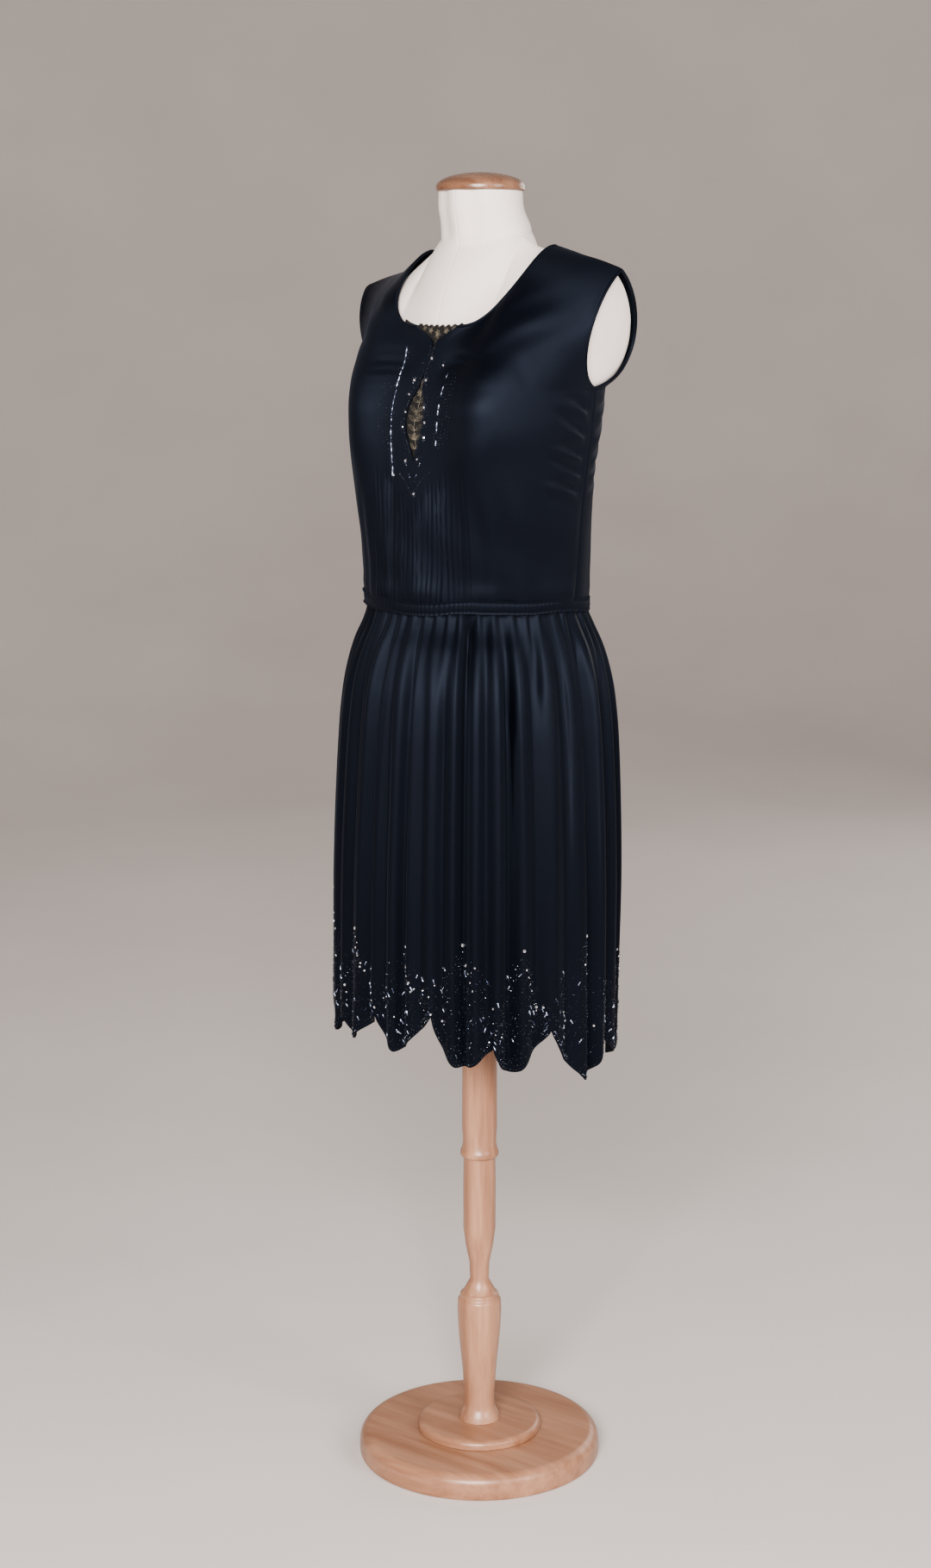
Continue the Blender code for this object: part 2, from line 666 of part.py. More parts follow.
def tube(name, path, radius, cyclic, finish):
    """A rolled edge: a thin tube along a path."""
    curve = bpy.data.curves.new(name, "CURVE")
    curve.dimensions = "3D"
    curve.bevel_depth = radius
    curve.bevel_resolution = 1
    curve.use_fill_caps = True
    spline = curve.splines.new("POLY")
    spline.points.add(len(path) - 1)
    spline.use_cyclic_u = cyclic
    for point, place in zip(spline.points, path):
        point.co = (*place, 1.0)
    curve.materials.append(finish)
    made = bpy.data.objects.new(name, curve)
    bpy.context.collection.objects.link(made)
    return made


def rolled_path(edge, normal, towards, cyclic=False):
    """A path beside an edge of the cloth, level with it, on the side the given vectors point to."""
    step = np.diff(edge, axis=0, append=edge[:1] if cyclic else 2 * edge[-1:] - edge[-2:-1])
    step /= np.linalg.norm(step, axis=-1, keepdims=True)
    before = np.roll(step, 1, axis=0)
    before[0] = step[-1] if cyclic else step[0]
    away = np.cross(step + before, normal)
    away *= np.sign(np.sum(away * towards, axis=-1, keepdims=True))
    away /= np.linalg.norm(away, axis=-1, keepdims=True)
    corner = np.linalg.norm(step + before, axis=-1, keepdims=True) / 2
    return edge + away * (ROLL_RADIUS + 2.5 * GAP) / corner


def wall_middle(front):
    """Columns, chest rows of the middle of the bodice's wall, and the outward normals there."""
    columns, lower_z, outer = front_surface() if front else back_surface()
    normal = normals(outer, wrap=False) * (1.0 if front else -1.0)
    first = len(lower_z) - 1
    return columns, (outer - normal * CLOTH / 2)[first:], normal[first:]


def neckline_edge(front, side):
    """The neckline on one side, outward from the centre: edge, normals and the way out of the cloth."""
    columns, middle, normal = wall_middle(front)
    if front:
        flip = np.array([side, 1.0, 1.0])
        middle = open_slit(middle * flip) * flip
    crossing = abs(crossing_columns()[1 if side > 0 else 0])
    nearest = 1e-6 if front else -1e-6
    pick = np.flatnonzero((columns * side > nearest) & (columns * side < crossing - 1e-4))
    pick = pick if side > 0 else pick[::-1]
    return middle[-1, pick], normal[-1, pick], (middle[-1] - middle[-2])[pick]


def neck_binding(finish):
    """The rolled edge of the neckline, from one side of the notch round the back to the other."""
    parts = []
    for side in (1.0, -1.0):
        front, back = neckline_edge(True, side), neckline_edge(False, side)
        at = crossing_columns()[1 if side > 0 else 0]
        corner = yoke(bodice_wall, EASE - CLOTH / 2, True, np.array([at]), np.ones(1))
        top = (corner, np.array([[0.0, 0.0, 1.0]]), np.array([[-side, 0.0, 0.0]]))
        parts.append([np.concatenate([a, b, c[::-1]]) for a, b, c in zip(front, top, back)])
    edge, normal, out = [np.concatenate([left, right[::-1][1:]]) for left, right in zip(*parts)]
    return tube("neck_binding", rolled_path(edge, normal, out), ROLL_RADIUS, False, finish)


def armhole_binding(name, side, finish):
    """The rolled edge of one armhole, up the front and down the back."""
    k = -1 if side > 0 else 0
    (_, front, front_normal), (_, back, back_normal) = wall_middle(True), wall_middle(False)
    edge = np.concatenate([front[:, k], back[-2:0:-1, k]])
    normal = np.concatenate([front_normal[:, k], back_normal[-2:0:-1, k]])
    normal[0] += back_normal[0, k]
    normal[len(front) - 1] += back_normal[-1, k]
    beside = -2 if side > 0 else 1
    out = edge - np.concatenate([front[:, beside], back[-2:0:-1, beside]])
    out[0] = (0.0, 0.0, 1.0)
    path = rolled_path(edge, normal, out, cyclic=True)
    return tube(name, path, ROLL_RADIUS, True, finish)


def form_lift(up, front):
    return FORM_LIFT * (up**3 if front else ease_in(4 * up))


def form_torso(finish):
    """The padded form, closed below, at the armholes and at the top of the neck."""
    bm = bmesh.new()
    across = spaced(-1.0, 1.0, 2 * COLUMNS + 1)
    heights = [row.z for row in FORM]
    for turn in (across * pi / 2, pi - across * pi / 2):
        grid = [form_wall(turn, np.full_like(turn, z)) for z in heights]
        add_grid(bm, grid)
    ring = np.concatenate([across[:-1] * pi / 2, (pi - across * pi / 2)[::-1][:-1]])
    bottom = form_wall(ring, np.full_like(ring, heights[0]))
    add_disc(bm, bottom)
    up = spaced(0.0, 1.0, 8)
    for front in (True, False):
        rows = [np.full_like(across, u) for u in up]
        add_grid(bm, [yoke(form_wall, form_lift(row[0], front), front, across, row) for row in rows])
    for side in (-1.0, 1.0):
        add_plate(bm, side, up)
    add_neck(bm, across)
    return add_object("form_torso", bm, finish, sharp_degrees=50)


def add_plate(bm, side, up):
    """The flat side of the form inside an armhole."""
    edges = []
    for front in (True, False):
        edges.append(np.array([yoke(form_wall, form_lift(u, front), front, side, u) for u in up]))
    grid = [edges[0] + (edges[1] - edges[0]) * share for share in spaced(0.0, 1.0, PLATE_COLUMNS + 2)]
    add_grid(bm, np.array(grid))


def add_neck(bm, across):
    """The neck, from its root to the flat top under the cap."""
    root_across = across[np.abs(across) <= NECK_SHARE + 1e-9]
    ones = np.ones_like(root_across)
    halves = [yoke(form_wall, FORM_LIFT, front, root_across, ones) for front in (True, False)]
    ring = np.concatenate([halves[0], halves[1][::-1][1:-1]])
    angle = np.arctan2(ring[:, 0], -(ring[:, 1] - NECK_ROOT_Y))
    rings = [ring]
    for share, lean, radius in ((0.35, 0.006, 0.0527), (0.65, 0.003, 0.0520), (1.0, 0.0, NECK_RADIUS)):
        height = ring[:, 2] + (NECK_TOP_Z - ring[:, 2]) * share
        rings.append(points(radius * np.sin(angle), lean - radius * np.cos(angle), height))
    add_grid(bm, rings, wrap=True)
    add_disc(bm, rings[-1])


def add_disc(bm, ring):
    """A flat cap over a ring of points."""
    verts = [bm.verts.new(p) for p in ring]
    centre = bm.verts.new(ring.mean(axis=0))
    for a, b in zip(verts, verts[1:] + verts[:1]):
        bm.faces.new((a, b, centre))


def turned(name, rows, finish, sides, sharp_degrees=35):
    """A solid turned about the stand's axis, from a table of heights and radii."""
    angle = spaced(0.0, 2 * pi, sides + 1)[:-1]
    grid = [points(row.radius * np.cos(angle), row.radius * np.sin(angle), row.z) for row in rows]
    bm = bmesh.new()
    add_grid(bm, grid, wrap=True)
    for ring in (grid[0], grid[-1]):
        add_disc(bm, ring)
    return add_object(name, bm, finish, sharp_degrees)


def rounded_disc(low, high, radius, foot, shoulder, steps=4):
    """Turned profile of a disc with a small lower edge round and a larger upper one."""
    rows = [Turned(low, radius - foot), Turned(low + foot, radius)]
    for step in range(steps + 1):
        a = pi / 2 * step / steps
        rows.append(Turned(high - shoulder * (1 - np.sin(a)), radius - shoulder * (1 - np.cos(a))))
    return rows


def cap_rows():
    """The domed wooden cap on the neck."""
    radius, low = 0.0545, NECK_TOP_Z + GAP
    rows = [Turned(low, radius - 0.002), Turned(low + 0.002, radius), Turned(low + 0.005, radius)]
    rows += [Turned(low + 0.005 + 0.0172 * np.sin(a), radius * np.cos(a)) for a in spaced(0.25, 1.45, 6)]
    return rows


def stand(wood):
    turned("stand_base", rounded_disc(0.0, BASE_THICK, BASE_RADIUS, 0.002, 0.014), wood, sides=36)
    boss_top = BASE_THICK + BOSS_THICK
    boss = rounded_disc(BASE_THICK + GAP, boss_top, BOSS_RADIUS, 0.001, 0.007)
    turned("stand_boss", boss, wood, sides=30)
    turned("stand_foot", FOOT, wood, sides=16)
    turned("stand_sleeve", SLEEVE, wood, sides=16)


def main():
    clear_scene()
    satin = material("satin", (0.010, 0.016, 0.032), 0.42)
    net = material("net", (0.030, 0.026, 0.022), 0.8)
    linen = material("linen", (0.78, 0.72, 0.66), 0.85)
    beech = material("beech", (0.66, 0.42, 0.28), 0.45)
    cap_wood = material("cap_wood", (0.38, 0.19, 0.09), 0.4)
    bodice_front(satin)
    bodice_back(satin)
    front_insert(net)
    neck_binding(satin)
    armhole_binding("armhole_binding_left", 1.0, satin)
    armhole_binding("armhole_binding_right", -1.0, satin)
    waist_band(satin)
    skirt_panel("skirt_front", -pi / 2, pi / 2, satin)
    skirt_panel("skirt_back", pi / 2, 3 * pi / 2, satin)
    form_torso(linen)
    turned("form_cap", cap_rows(), cap_wood, sides=26)
    stand(beech)


main()
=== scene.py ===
"""Looks of a sleeveless evening dress of dark satin, on a padded dress form with a turned wooden stand.

Metres, +Z up. The dress faces -Y, and the wearer's left is +X.
"""

from collections import namedtuple
from math import atan, cos, pi, radians, sin, tan

import bmesh
import bpy
import numpy as np
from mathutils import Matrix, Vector
from mathutils.bvhtree import BVHTree


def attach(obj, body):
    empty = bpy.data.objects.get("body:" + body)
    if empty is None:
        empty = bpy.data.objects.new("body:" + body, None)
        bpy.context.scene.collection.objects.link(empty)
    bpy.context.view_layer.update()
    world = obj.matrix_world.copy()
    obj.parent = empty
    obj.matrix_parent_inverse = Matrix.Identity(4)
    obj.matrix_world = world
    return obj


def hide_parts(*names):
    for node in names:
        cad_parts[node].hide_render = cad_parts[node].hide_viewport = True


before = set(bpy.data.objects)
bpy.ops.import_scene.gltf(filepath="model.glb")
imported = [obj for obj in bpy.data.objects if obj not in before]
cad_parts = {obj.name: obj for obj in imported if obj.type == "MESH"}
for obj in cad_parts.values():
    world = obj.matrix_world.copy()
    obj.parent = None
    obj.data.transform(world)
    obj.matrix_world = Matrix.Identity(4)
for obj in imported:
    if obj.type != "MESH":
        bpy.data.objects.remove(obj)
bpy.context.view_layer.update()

# ---- main sizes, the same as the solids' ----

GAP = 0.0003
CLOTH = 0.0015
NET = 0.001
NET_BEHIND = 0.0022
FORM_LIFT = -0.003
EASE = 0.0041
CHEST_Z = 1.402
SEAM_Z = 1.141
NECK_TOP_Z = 1.6375
NECK_RADIUS = 0.0515
NECK_ROOT = 0.0585
NECK_ROOT_Y = 0.012
NECK_FRONT_Z = 1.570
NECK_SIDE_Z = 1.588
NECK_BACK_Z = 1.598
NECK_SHARE = 1 / 3
LEFT_TIP_X = 0.1895
RIGHT_TIP_X = 0.1995
TIP_Y = 0.025
YOKE_RISE = 0.19
BUST_X = 0.097
BUST_Z = 1.383
BUST_WIDTH = 0.040
BUST_RISE = 0.024
BUST_ABOVE = 0.065
BUST_BELOW_FORM = 0.050
BUST_BELOW_CLOTH = 0.130
BAND_HALF = 0.008
BAND_THICK = 0.0022
ROLL_RADIUS = 0.0019
BASE_RADIUS = 0.1585
BASE_THICK = 0.032
BOSS_RADIUS = 0.0815
BOSS_THICK = 0.012
RIGHT_DROP = 0.018
NECKLINE_LEFT_X = 0.0995
NECKLINE_RIGHT_X = 0.0900
NECKLINE_TOP_Z = 1.574
SLIT_REACH = 0.100
SLIT_PULL = 0.110

# ---- sizes of the fine detail, the floor and the backdrop ----

NET_LOW_Z = 1.303
FINE_ROWS_Z = 1.277
CAP_RADIUS = 0.0545
FORM_EDGE_Z = 0.915
NECK_FOOT_RADIUS = 0.0530
GROOVE_DEPTH = 0.0005
GROOVE_WIDTH = 0.004
ARM_PLATE_BULGE = 0.0022
EDGE_STEP = 0.0022
LACE_LOW_Z = 1.318
LACE_HIGH_Z = 1.472
FLOOR_DROP = 0.0004
FLOOR_REACH = 4.6
BACKDROP_CURVE = 4.0
BACKDROP_TOP_Z = 9.0
TAU = 2 * pi

# ---- tables of the shapes ----


def table(kind, *rows):
    return [kind(*row) for row in rows]


Section = namedtuple(
    "Section", "z half_width front back side_y front_power back_power", defaults=(0.0, 2.0, 2.0)
)
FORM = table(
    Section,
    (0.900, 0.152, 0.114, 0.120),
    (0.915, 0.160, 0.122, 0.128),
    (0.965, 0.163, 0.126, 0.131),
    (1.050, 0.148, 0.117, 0.113, 0.001, 2.0),
    (1.150, 0.124, 0.102, 0.089, 0.004, 2.1),
    (1.230, 0.127, 0.103, 0.085, 0.009, 2.3),
    (1.310, 0.142, 0.115, 0.083, 0.014, 2.5, 2.10),
    (1.370, 0.150, 0.1300, 0.081, 0.020, 2.6, 2.20),
    (1.402, 0.1505, 0.1290, 0.079, 0.0241, 2.6, 2.25),
)
BODICE = table(
    Section,
    (1.130, 0.1460, 0.134, 0.113, 0.000, 2.05),
    (1.190, 0.1485, 0.136, 0.103, 0.003, 2.20),
    (1.265, 0.1520, 0.138, 0.097, 0.007, 2.40),
    (1.320, 0.1550, 0.138, 0.093, 0.013, 2.70, 2.05),
    (1.380, 0.1570, 0.138, 0.089, 0.021, 3.05, 2.25),
    (1.402, 0.1575, 0.137, 0.087, 0.024, 3.15, 2.30),
)
SKIRT = table(
    Section,
    (0.540, 0.193, 0.188, 0.139),
    (0.590, 0.193, 0.187, 0.141),
    (0.690, 0.193, 0.186, 0.148),
    (0.800, 0.192, 0.184, 0.157),
    (0.912, 0.188, 0.178, 0.159),
    (0.956, 0.1855, 0.175, 0.159),
    (1.001, 0.182, 0.171, 0.157),
    (1.045, 0.1755, 0.164, 0.152),
    (1.089, 0.163, 0.150, 0.136),
    (1.116, 0.1510, 0.138, 0.1200),
    (1.129, 0.1458, 0.1338, 0.1125, 0.000, 2.05),
    (1.150, 0.1455, 0.1332, 0.1090, 0.001, 2.10),
)

ShoulderPoint = namedtuple("ShoulderPoint", "share z")
SHOULDER = table(
    ShoulderPoint,
    (0.00, 1.588), (0.12, 1.577), (0.27, 1.569), (0.53, 1.558), (0.79, 1.549), (1.00, 1.540),
)
Armhole = namedtuple("Armhole", "swing_out swing_in lean")
FRONT_ARMHOLE = Armhole(0.17, 0.13, 0.03)
BACK_ARMHOLE = Armhole(0.27, 0.24, 0.06)
Neckline = namedtuple("Neckline", "bottom_z power")
FRONT_NECKLINE = Neckline(1.476, 2.5)
BACK_NECKLINE = Neckline(1.526, 2.4)

SlitPoint = namedtuple("SlitPoint", "z half_width")
SLIT = table(
    SlitPoint,
    (1.316, 0.0000), (1.331, 0.0045), (1.349, 0.0110), (1.368, 0.0130), (1.387, 0.0098),
    (1.402, 0.0030), (1.414, 0.0009), (1.452, 0.0009), (1.459, 0.0042), (1.468, 0.0175),
    (1.480, 0.0400),
)
Lean = namedtuple("Lean", "z shift")
# How far the slit wanders from centre front, towards the wearer's left where positive
LEAN = table(
    Lean,
    (1.250, 0.0000), (1.300, -0.0030), (1.357, -0.0080), (1.405, -0.0035), (1.450, 0.0060),
    (1.480, 0.0080),
)

Valley = namedtuple("Valley", "turn depth start")
VALLEYS = table(
    Valley,
    (-48.0, 0.010, 0.20), (-37.0, 0.013, 0.12), (-25.0, 0.010, 0.20), (-12.6, 0.014, 0.10),
    (-3.0, 0.007, 0.26), (5.7, 0.013, 0.12), (14.5, 0.006, 0.24), (22.7, 0.010, 0.18),
    (31.5, 0.018, 0.06), (40.5, 0.009, 0.16), (49.7, 0.016, 0.14), (60.5, 0.012, 0.10),
    (74.0, 0.010, 0.12), (85.8, 0.015, 0.10), (97.0, 0.009, 0.16), (108.0, 0.013, 0.12),
    (120.0, 0.010, 0.18),
)

# Lean moves a petal's tip to one side, and point makes it pointed instead of round
Petal = namedtuple("Petal", "notch_turn notch_z tip_z lean point")
PETALS = table(
    Petal,
    (-33.0, 0.630, 0.592, -0.14, 0.8),
    (-7.0, 0.633, 0.592, -0.14, 0.5),
    (19.0, 0.643, 0.579, 0.00, 0.1),
    (43.0, 0.606, 0.573, -0.20, 0.05),
    (65.5, 0.624, 0.551, 0.09, 0.6),
    (96.0, 0.598, 0.564, 0.00, 0.4),
    (122.0, 0.614, 0.562, 0.00, 0.2),
    (148.0, 0.620, 0.568, -0.05, 0.6),
    (173.0, 0.612, 0.572, 0.00, 0.1),
    (198.0, 0.622, 0.570, 0.05, 0.5),
    (224.0, 0.614, 0.578, 0.00, 0.2),
    (250.0, 0.624, 0.580, 0.00, 0.7),
    (277.0, 0.618, 0.588, 0.04, 0.2),
    (302.0, 0.628, 0.584, 0.00, 0.4),
)

Turned = namedtuple("Turned", "z radius")
FOOT = table(
    Turned,
    (0.0443, 0.0275), (0.0520, 0.0250), (0.0600, 0.0212), (0.0720, 0.0200), (0.0950, 0.0212),
    (0.1200, 0.0230), (0.1500, 0.0260), (0.1800, 0.0283), (0.2050, 0.0287), (0.2110, 0.0280),
    (0.2150, 0.0255), (0.2190, 0.0250), (0.2215, 0.0218), (0.3100, 0.0212), (0.4000, 0.0208),
    (0.4077, 0.0205),
)
SLEEVE = table(
    Turned,
    (0.4080, 0.0235), (0.4100, 0.0248), (0.4150, 0.0248), (0.4190, 0.0233), (0.4500, 0.0230),
    (0.5500, 0.0226), (0.8997, 0.0222),
)


# ---- curves and surfaces ----


def smooth(at, known, values):
    """Values on a smooth curve through the known points."""
    known, values = np.asarray(known, float), np.asarray(values, float)
    slope = np.gradient(values, known)
    k = np.clip(np.searchsorted(known, at) - 1, 0, len(known) - 2)
    width = known[k + 1] - known[k]
    s = np.clip((at - known[k]) / width, 0.0, 1.0)
    start = (2 * s**3 - 3 * s**2 + 1) * values[k] + (s**3 - 2 * s**2 + s) * width * slope[k]
    end = (3 * s**2 - 2 * s**3) * values[k + 1] + (s**3 - s**2) * width * slope[k + 1]
    return start + end


def column(rows, name, at, key="z"):
    return smooth(at, [getattr(row, key) for row in rows], [getattr(row, name) for row in rows])


def ease_in(x):
    x = np.clip(x, 0.0, 1.0)
    return x * x * (3 - 2 * x)


def bump_at(x, centre, width):
    """One at the centre and fading to nothing about two widths away."""
    return np.exp(-(((x - centre) / width) ** 2))


def wander(x, seed, waves=5, base=1.0):
    """A smooth uneven line between about -1 and 1."""
    made = np.random.RandomState(seed)
    total = 0.0 * x
    for k in range(waves):
        wave = base * (k + 1) * x * made.uniform(0.8, 1.25)
        total = total + np.sin(wave + made.uniform(0, TAU)) / (1 + 0.5 * k)
    return total / 2.2


def spaced(low, high, count):
    return np.linspace(low, high, count)


def turns(count):
    """Angles all the way round, without the last one."""
    return spaced(0.0, TAU, count + 1)[:-1]


def points(x, y, z):
    return np.stack(np.broadcast_arrays(x, y, z), axis=-1).astype(float)


def outwards(turn):
    return points(np.sin(turn), -np.cos(turn), 0 * turn)


def unit(v):
    return v / np.maximum(np.linalg.norm(v, axis=-1, keepdims=True), 1e-12)


def mirrored(half):
    return np.concatenate([-half[::-1][:-1], half])


def mix(a, b, share):
    return a + (b - a) * share[..., None]


def section(rows, turn, z):
    """Points on a rounded section. Turn is 0 at centre front and grows towards the wearer's left."""
    sine, cosine = np.sin(turn), np.cos(turn)
    depth = np.where(cosine > 0, column(rows, "front", z), column(rows, "back", z))
    power = np.where(cosine > 0, column(rows, "front_power", z), column(rows, "back_power", z))
    wide, deep = np.abs(sine) / column(rows, "half_width", z), np.abs(cosine) / depth
    radius = (wide**power + deep**power) ** (-1 / power)
    return points(radius * sine, column(rows, "side_y", z) - radius * cosine, z)


def bust(turn, z, x, below):
    reach = np.where(z < BUST_Z, below, BUST_ABOVE)
    across = bump_at(np.abs(x), BUST_X, BUST_WIDTH)
    return BUST_RISE * across * bump_at(z, BUST_Z, reach) * ease_in(np.cos(turn) / 0.35)


def body_wall(rows, bust_below, turn, z):
    surface = section(rows, turn, z)
    surface[..., 1] -= bust(turn, z, surface[..., 0], bust_below)
    return surface


def form_wall(turn, z):
    return body_wall(FORM, BUST_BELOW_FORM, turn, z)


def bodice_wall(turn, z):
    return body_wall(BODICE, BUST_BELOW_CLOTH, turn, z)


def turn_at(across, front):
    """The turn of a column that lies between -1 and 1 across its side of the body."""
    return across * pi / 2 if front else pi - across * pi / 2


def top_line(lift, front, side, wide):
    """The upper end of the chest: round the root of the neck, then out along the shoulder."""
    sign = 1.0 if front else -1.0
    angle = pi / 2 * np.clip(wide / NECK_SHARE, 0.0, 1.0)
    along = np.clip((wide - NECK_SHARE) / (1 - NECK_SHARE), 0.0, 1.0)
    root = NECK_ROOT + lift
    end_z = NECK_FRONT_Z if front else NECK_BACK_Z
    neck = points(
        side * root * np.sin(angle),
        NECK_ROOT_Y - sign * root * np.cos(angle),
        NECK_SIDE_Z + (end_z - NECK_SIDE_Z) * np.cos(angle) ** 2 + lift * np.sin(angle) ** 2,
    )
    ridge_x = root + (np.where(side < 0, RIGHT_TIP_X, LEFT_TIP_X) + lift - root) * along
    drop = RIGHT_DROP * (side < 0) * ease_in(along * 2.4)
    ridge = points(
        side * ridge_x,
        NECK_ROOT_Y + (TIP_Y - NECK_ROOT_Y) * ease_in(along * 2),
        column(SHOULDER, "z", along, key="share") + lift - drop,
    )
    return mix(neck, ridge, (wide > NECK_SHARE).astype(float))


def yoke(wall, lift, front, across, up):
    """The surface from the chest line up to the neck and shoulders."""
    across, up = np.broadcast_arrays(np.asarray(across, float), np.asarray(up, float))
    sign = 1.0 if front else -1.0
    side = np.sign(across)
    wide = np.abs(across)
    turn = turn_at(across, front)
    start = wall(turn, np.full_like(across, CHEST_Z))
    below = wall(turn, np.full_like(across, CHEST_Z - 0.01))
    rise = (start - below) / 0.01 * YOKE_RISE

    angle = pi / 2 * np.clip(wide / NECK_SHARE, 0.0, 1.0)
    soft = 0.03 * (lift > 0) * ease_in(wide / 0.1) * (1 - ease_in((wide - 0.38) / 0.1))
    end = sum(top_line(lift, front, side, wide + k * soft) for k in (-2, -1, 0, 1, 2)) / 5

    arm = FRONT_ARMHOLE if front else BACK_ARMHOLE
    none = np.zeros_like(across)
    at_neck = points(-side * 0.05 * np.sin(angle), sign * 0.08 * np.cos(angle), none + 0.13)
    tighter = 2.0 * (lift - EASE)
    at_ridge = points(none, none + (0.17 if front else -0.17 - tighter), none + 0.01)
    into = mix(at_neck, at_ridge, ease_in((wide - 0.08) / 0.50))
    edge = ease_in((wide - 0.60) / 0.40)
    swing_out, swing_in = arm.swing_out + tighter, arm.swing_in + tighter
    rise = mix(rise, points(side * 0.03, none - sign * swing_out, none + 0.05), edge)
    into = mix(into, points(side * arm.lean, none + sign * swing_in, none + 0.10), edge)

    s = up[..., None]
    return (
        (2 * s**3 - 3 * s**2 + 1) * start
        + (s**3 - 2 * s**2 + s) * rise
        + (3 * s**2 - 2 * s**3) * end
        + (s**3 - s**2) * into
    )


def neckline_x(across):
    return np.where(across < 0, NECKLINE_RIGHT_X, NECKLINE_LEFT_X)


def neckline_height(front, across):
    """How far up each column of the bodice runs: to the neckline, or to the shoulder."""
    line = FRONT_NECKLINE if front else BACK_NECKLINE

    def inside(up):
        p = yoke(bodice_wall, EASE, front, across, up)
        wide = np.abs(p[..., 0]) / neckline_x(across)
        deep = (NECKLINE_TOP_Z - p[..., 2]) / (NECKLINE_TOP_Z - line.bottom_z)
        power = line.power + np.where((across < 0) & front, 0.5, 0.0)
        return wide**power + np.clip(deep, 0.0, None) ** power < 1

    low, high = np.zeros_like(across), np.ones_like(across)
    reaches = ~inside(high)
    for _ in range(30):
        middle = (low + high) / 2
        cut = inside(middle)
        low, high = np.where(cut, low, middle), np.where(cut, middle, high)
    return np.where(reaches, 1.0, low)


def crossing_columns():
    side, tip, root = np.array([-1.0, 1.0]), np.array([RIGHT_TIP_X, LEFT_TIP_X]), NECK_ROOT + EASE
    share = (neckline_x(side) - root) / (tip + EASE - root)
    return side * (NECK_SHARE + (1 - NECK_SHARE) * share + 1e-6)


def snap_to_neckline(columns):
    for at in crossing_columns():
        columns[np.argmin(np.abs(columns - at))] = at
        columns = np.append(columns, [at - np.sign(at) * step for step in (0.0015, 0.004)])
    return np.sort(columns)


def seam_z(turn):
    return SEAM_Z + 0.0025 * np.cos(3 * (turn - radians(50))) - 0.0015 * np.cos(7 * turn - 1.0)


def seam_row(turn, z):
    return z + (seam_z(turn) + GAP - SEAM_Z) * ease_in((CHEST_Z - z) / (CHEST_Z - SEAM_Z))


def open_slit(surface):
    """Pushes the front apart at centre front, where the net shows."""
    x, z = surface[..., 0], surface[..., 2]
    wide = np.where(z < SLIT[0].z, 0.0, np.clip(column(SLIT, "half_width", z), 0.0, None))
    surface[..., 0] = x + wide * np.clip(1 - x / SLIT_REACH, 0.0, 1.0) ** 2
    return surface


def slit_shift(x, z):
    """How far the middle of the front is pulled to one side at x and z."""
    pull = column(LEAN, "shift", np.clip(z, LEAN[0].z, LEAN[-1].z))
    return pull * np.clip(1 - (x / SLIT_PULL) ** 2, 0.0, 1.0) ** 2


def lean_over(surface):
    surface[..., 0] += slit_shift(surface[..., 0], surface[..., 2])
    return surface


def normals(grid):
    return unit(np.cross(np.gradient(grid, axis=1), np.gradient(grid, axis=0)))


# ---- meshes ----


def grid_faces(rows, cols, first=0, wrap=False):
    low = np.arange(rows - 1)[:, None] * cols + first
    here = np.arange(cols if wrap else cols - 1)[None, :]
    there = (here + 1) % cols
    return np.stack([low + here, low + there, low + cols + there, low + cols + here], axis=-1).reshape(-1, 4)


def strip_faces(a, b):
    """Faces between two runs of vertices of the same length."""
    a, b = np.asarray(a), np.asarray(b)
    return np.stack([a[:-1], a[1:], b[1:], b[:-1]], axis=-1)


def drum_faces(rings, sides):
    """Faces of a solid made of rings of vertices, closed at both ends."""
    last = (rings - 1) * sides
    return [*grid_faces(rings, sides, wrap=True), range(sides - 1, -1, -1), range(last, last + sides)]


def shell_faces(rows, cols, first=0, wrap=False, left=0, right=0):
    """Faces of a closed wall: an outer grid, then an inner one. Left and right give the row from which
    that end is closed, or None."""
    size = rows * cols
    index = np.arange(size).reshape(rows, cols) + first
    faces = [grid_faces(rows, cols, first, wrap), grid_faces(rows, cols, first + size, wrap)[:, ::-1]]
    for row, turn_over in ((0, True), (rows - 1, False)):
        run = np.append(index[row], index[row, 0]) if wrap else index[row]
        strip = strip_faces(run, run + size)
        faces.append(strip[:, ::-1] if turn_over else strip)
    if not wrap:
        for k, start in ((0, left), (cols - 1, right)):
            if start is not None:
                faces.append(strip_faces(index[start:, k], index[start:, k] + size))
    return np.concatenate(faces)


def add_mesh(name, verts, faces, finish, sharp_degrees=None, merge=None, flat=False):
    mesh = bpy.data.meshes.new(name)
    mesh.from_pydata(np.asarray(verts).reshape(-1, 3).tolist(), [], [list(map(int, f)) for f in faces])
    bm = bmesh.new()
    bm.from_mesh(mesh)
    if merge is not None:
        chosen = [v for v in bm.verts if merge(v.co)]
        bmesh.ops.remove_doubles(bm, verts=chosen, dist=2e-6)
        bmesh.ops.dissolve_degenerate(bm, dist=1e-7, edges=bm.edges)
    bmesh.ops.recalc_face_normals(bm, faces=bm.faces)
    bm.to_mesh(mesh)
    bm.free()
    if flat:
        mesh.shade_flat()
    else:
        mesh.shade_smooth()
        if sharp_degrees:
            mesh.set_sharp_from_angle(angle=radians(sharp_degrees))
    mesh.materials.append(finish)
    made = bpy.data.objects.new(name, mesh)
    bpy.context.scene.collection.objects.link(made)
    return made


def add_wall(name, outer, inner, finish, sharp_degrees=60, wrap=False):
    """A closed wall between an outer grid and an inner one."""
    verts = np.concatenate([outer.reshape(-1, 3), inner.reshape(-1, 3)])
    return add_mesh(name, verts, shell_faces(*outer.shape[:2], wrap=wrap), finish, sharp_degrees)


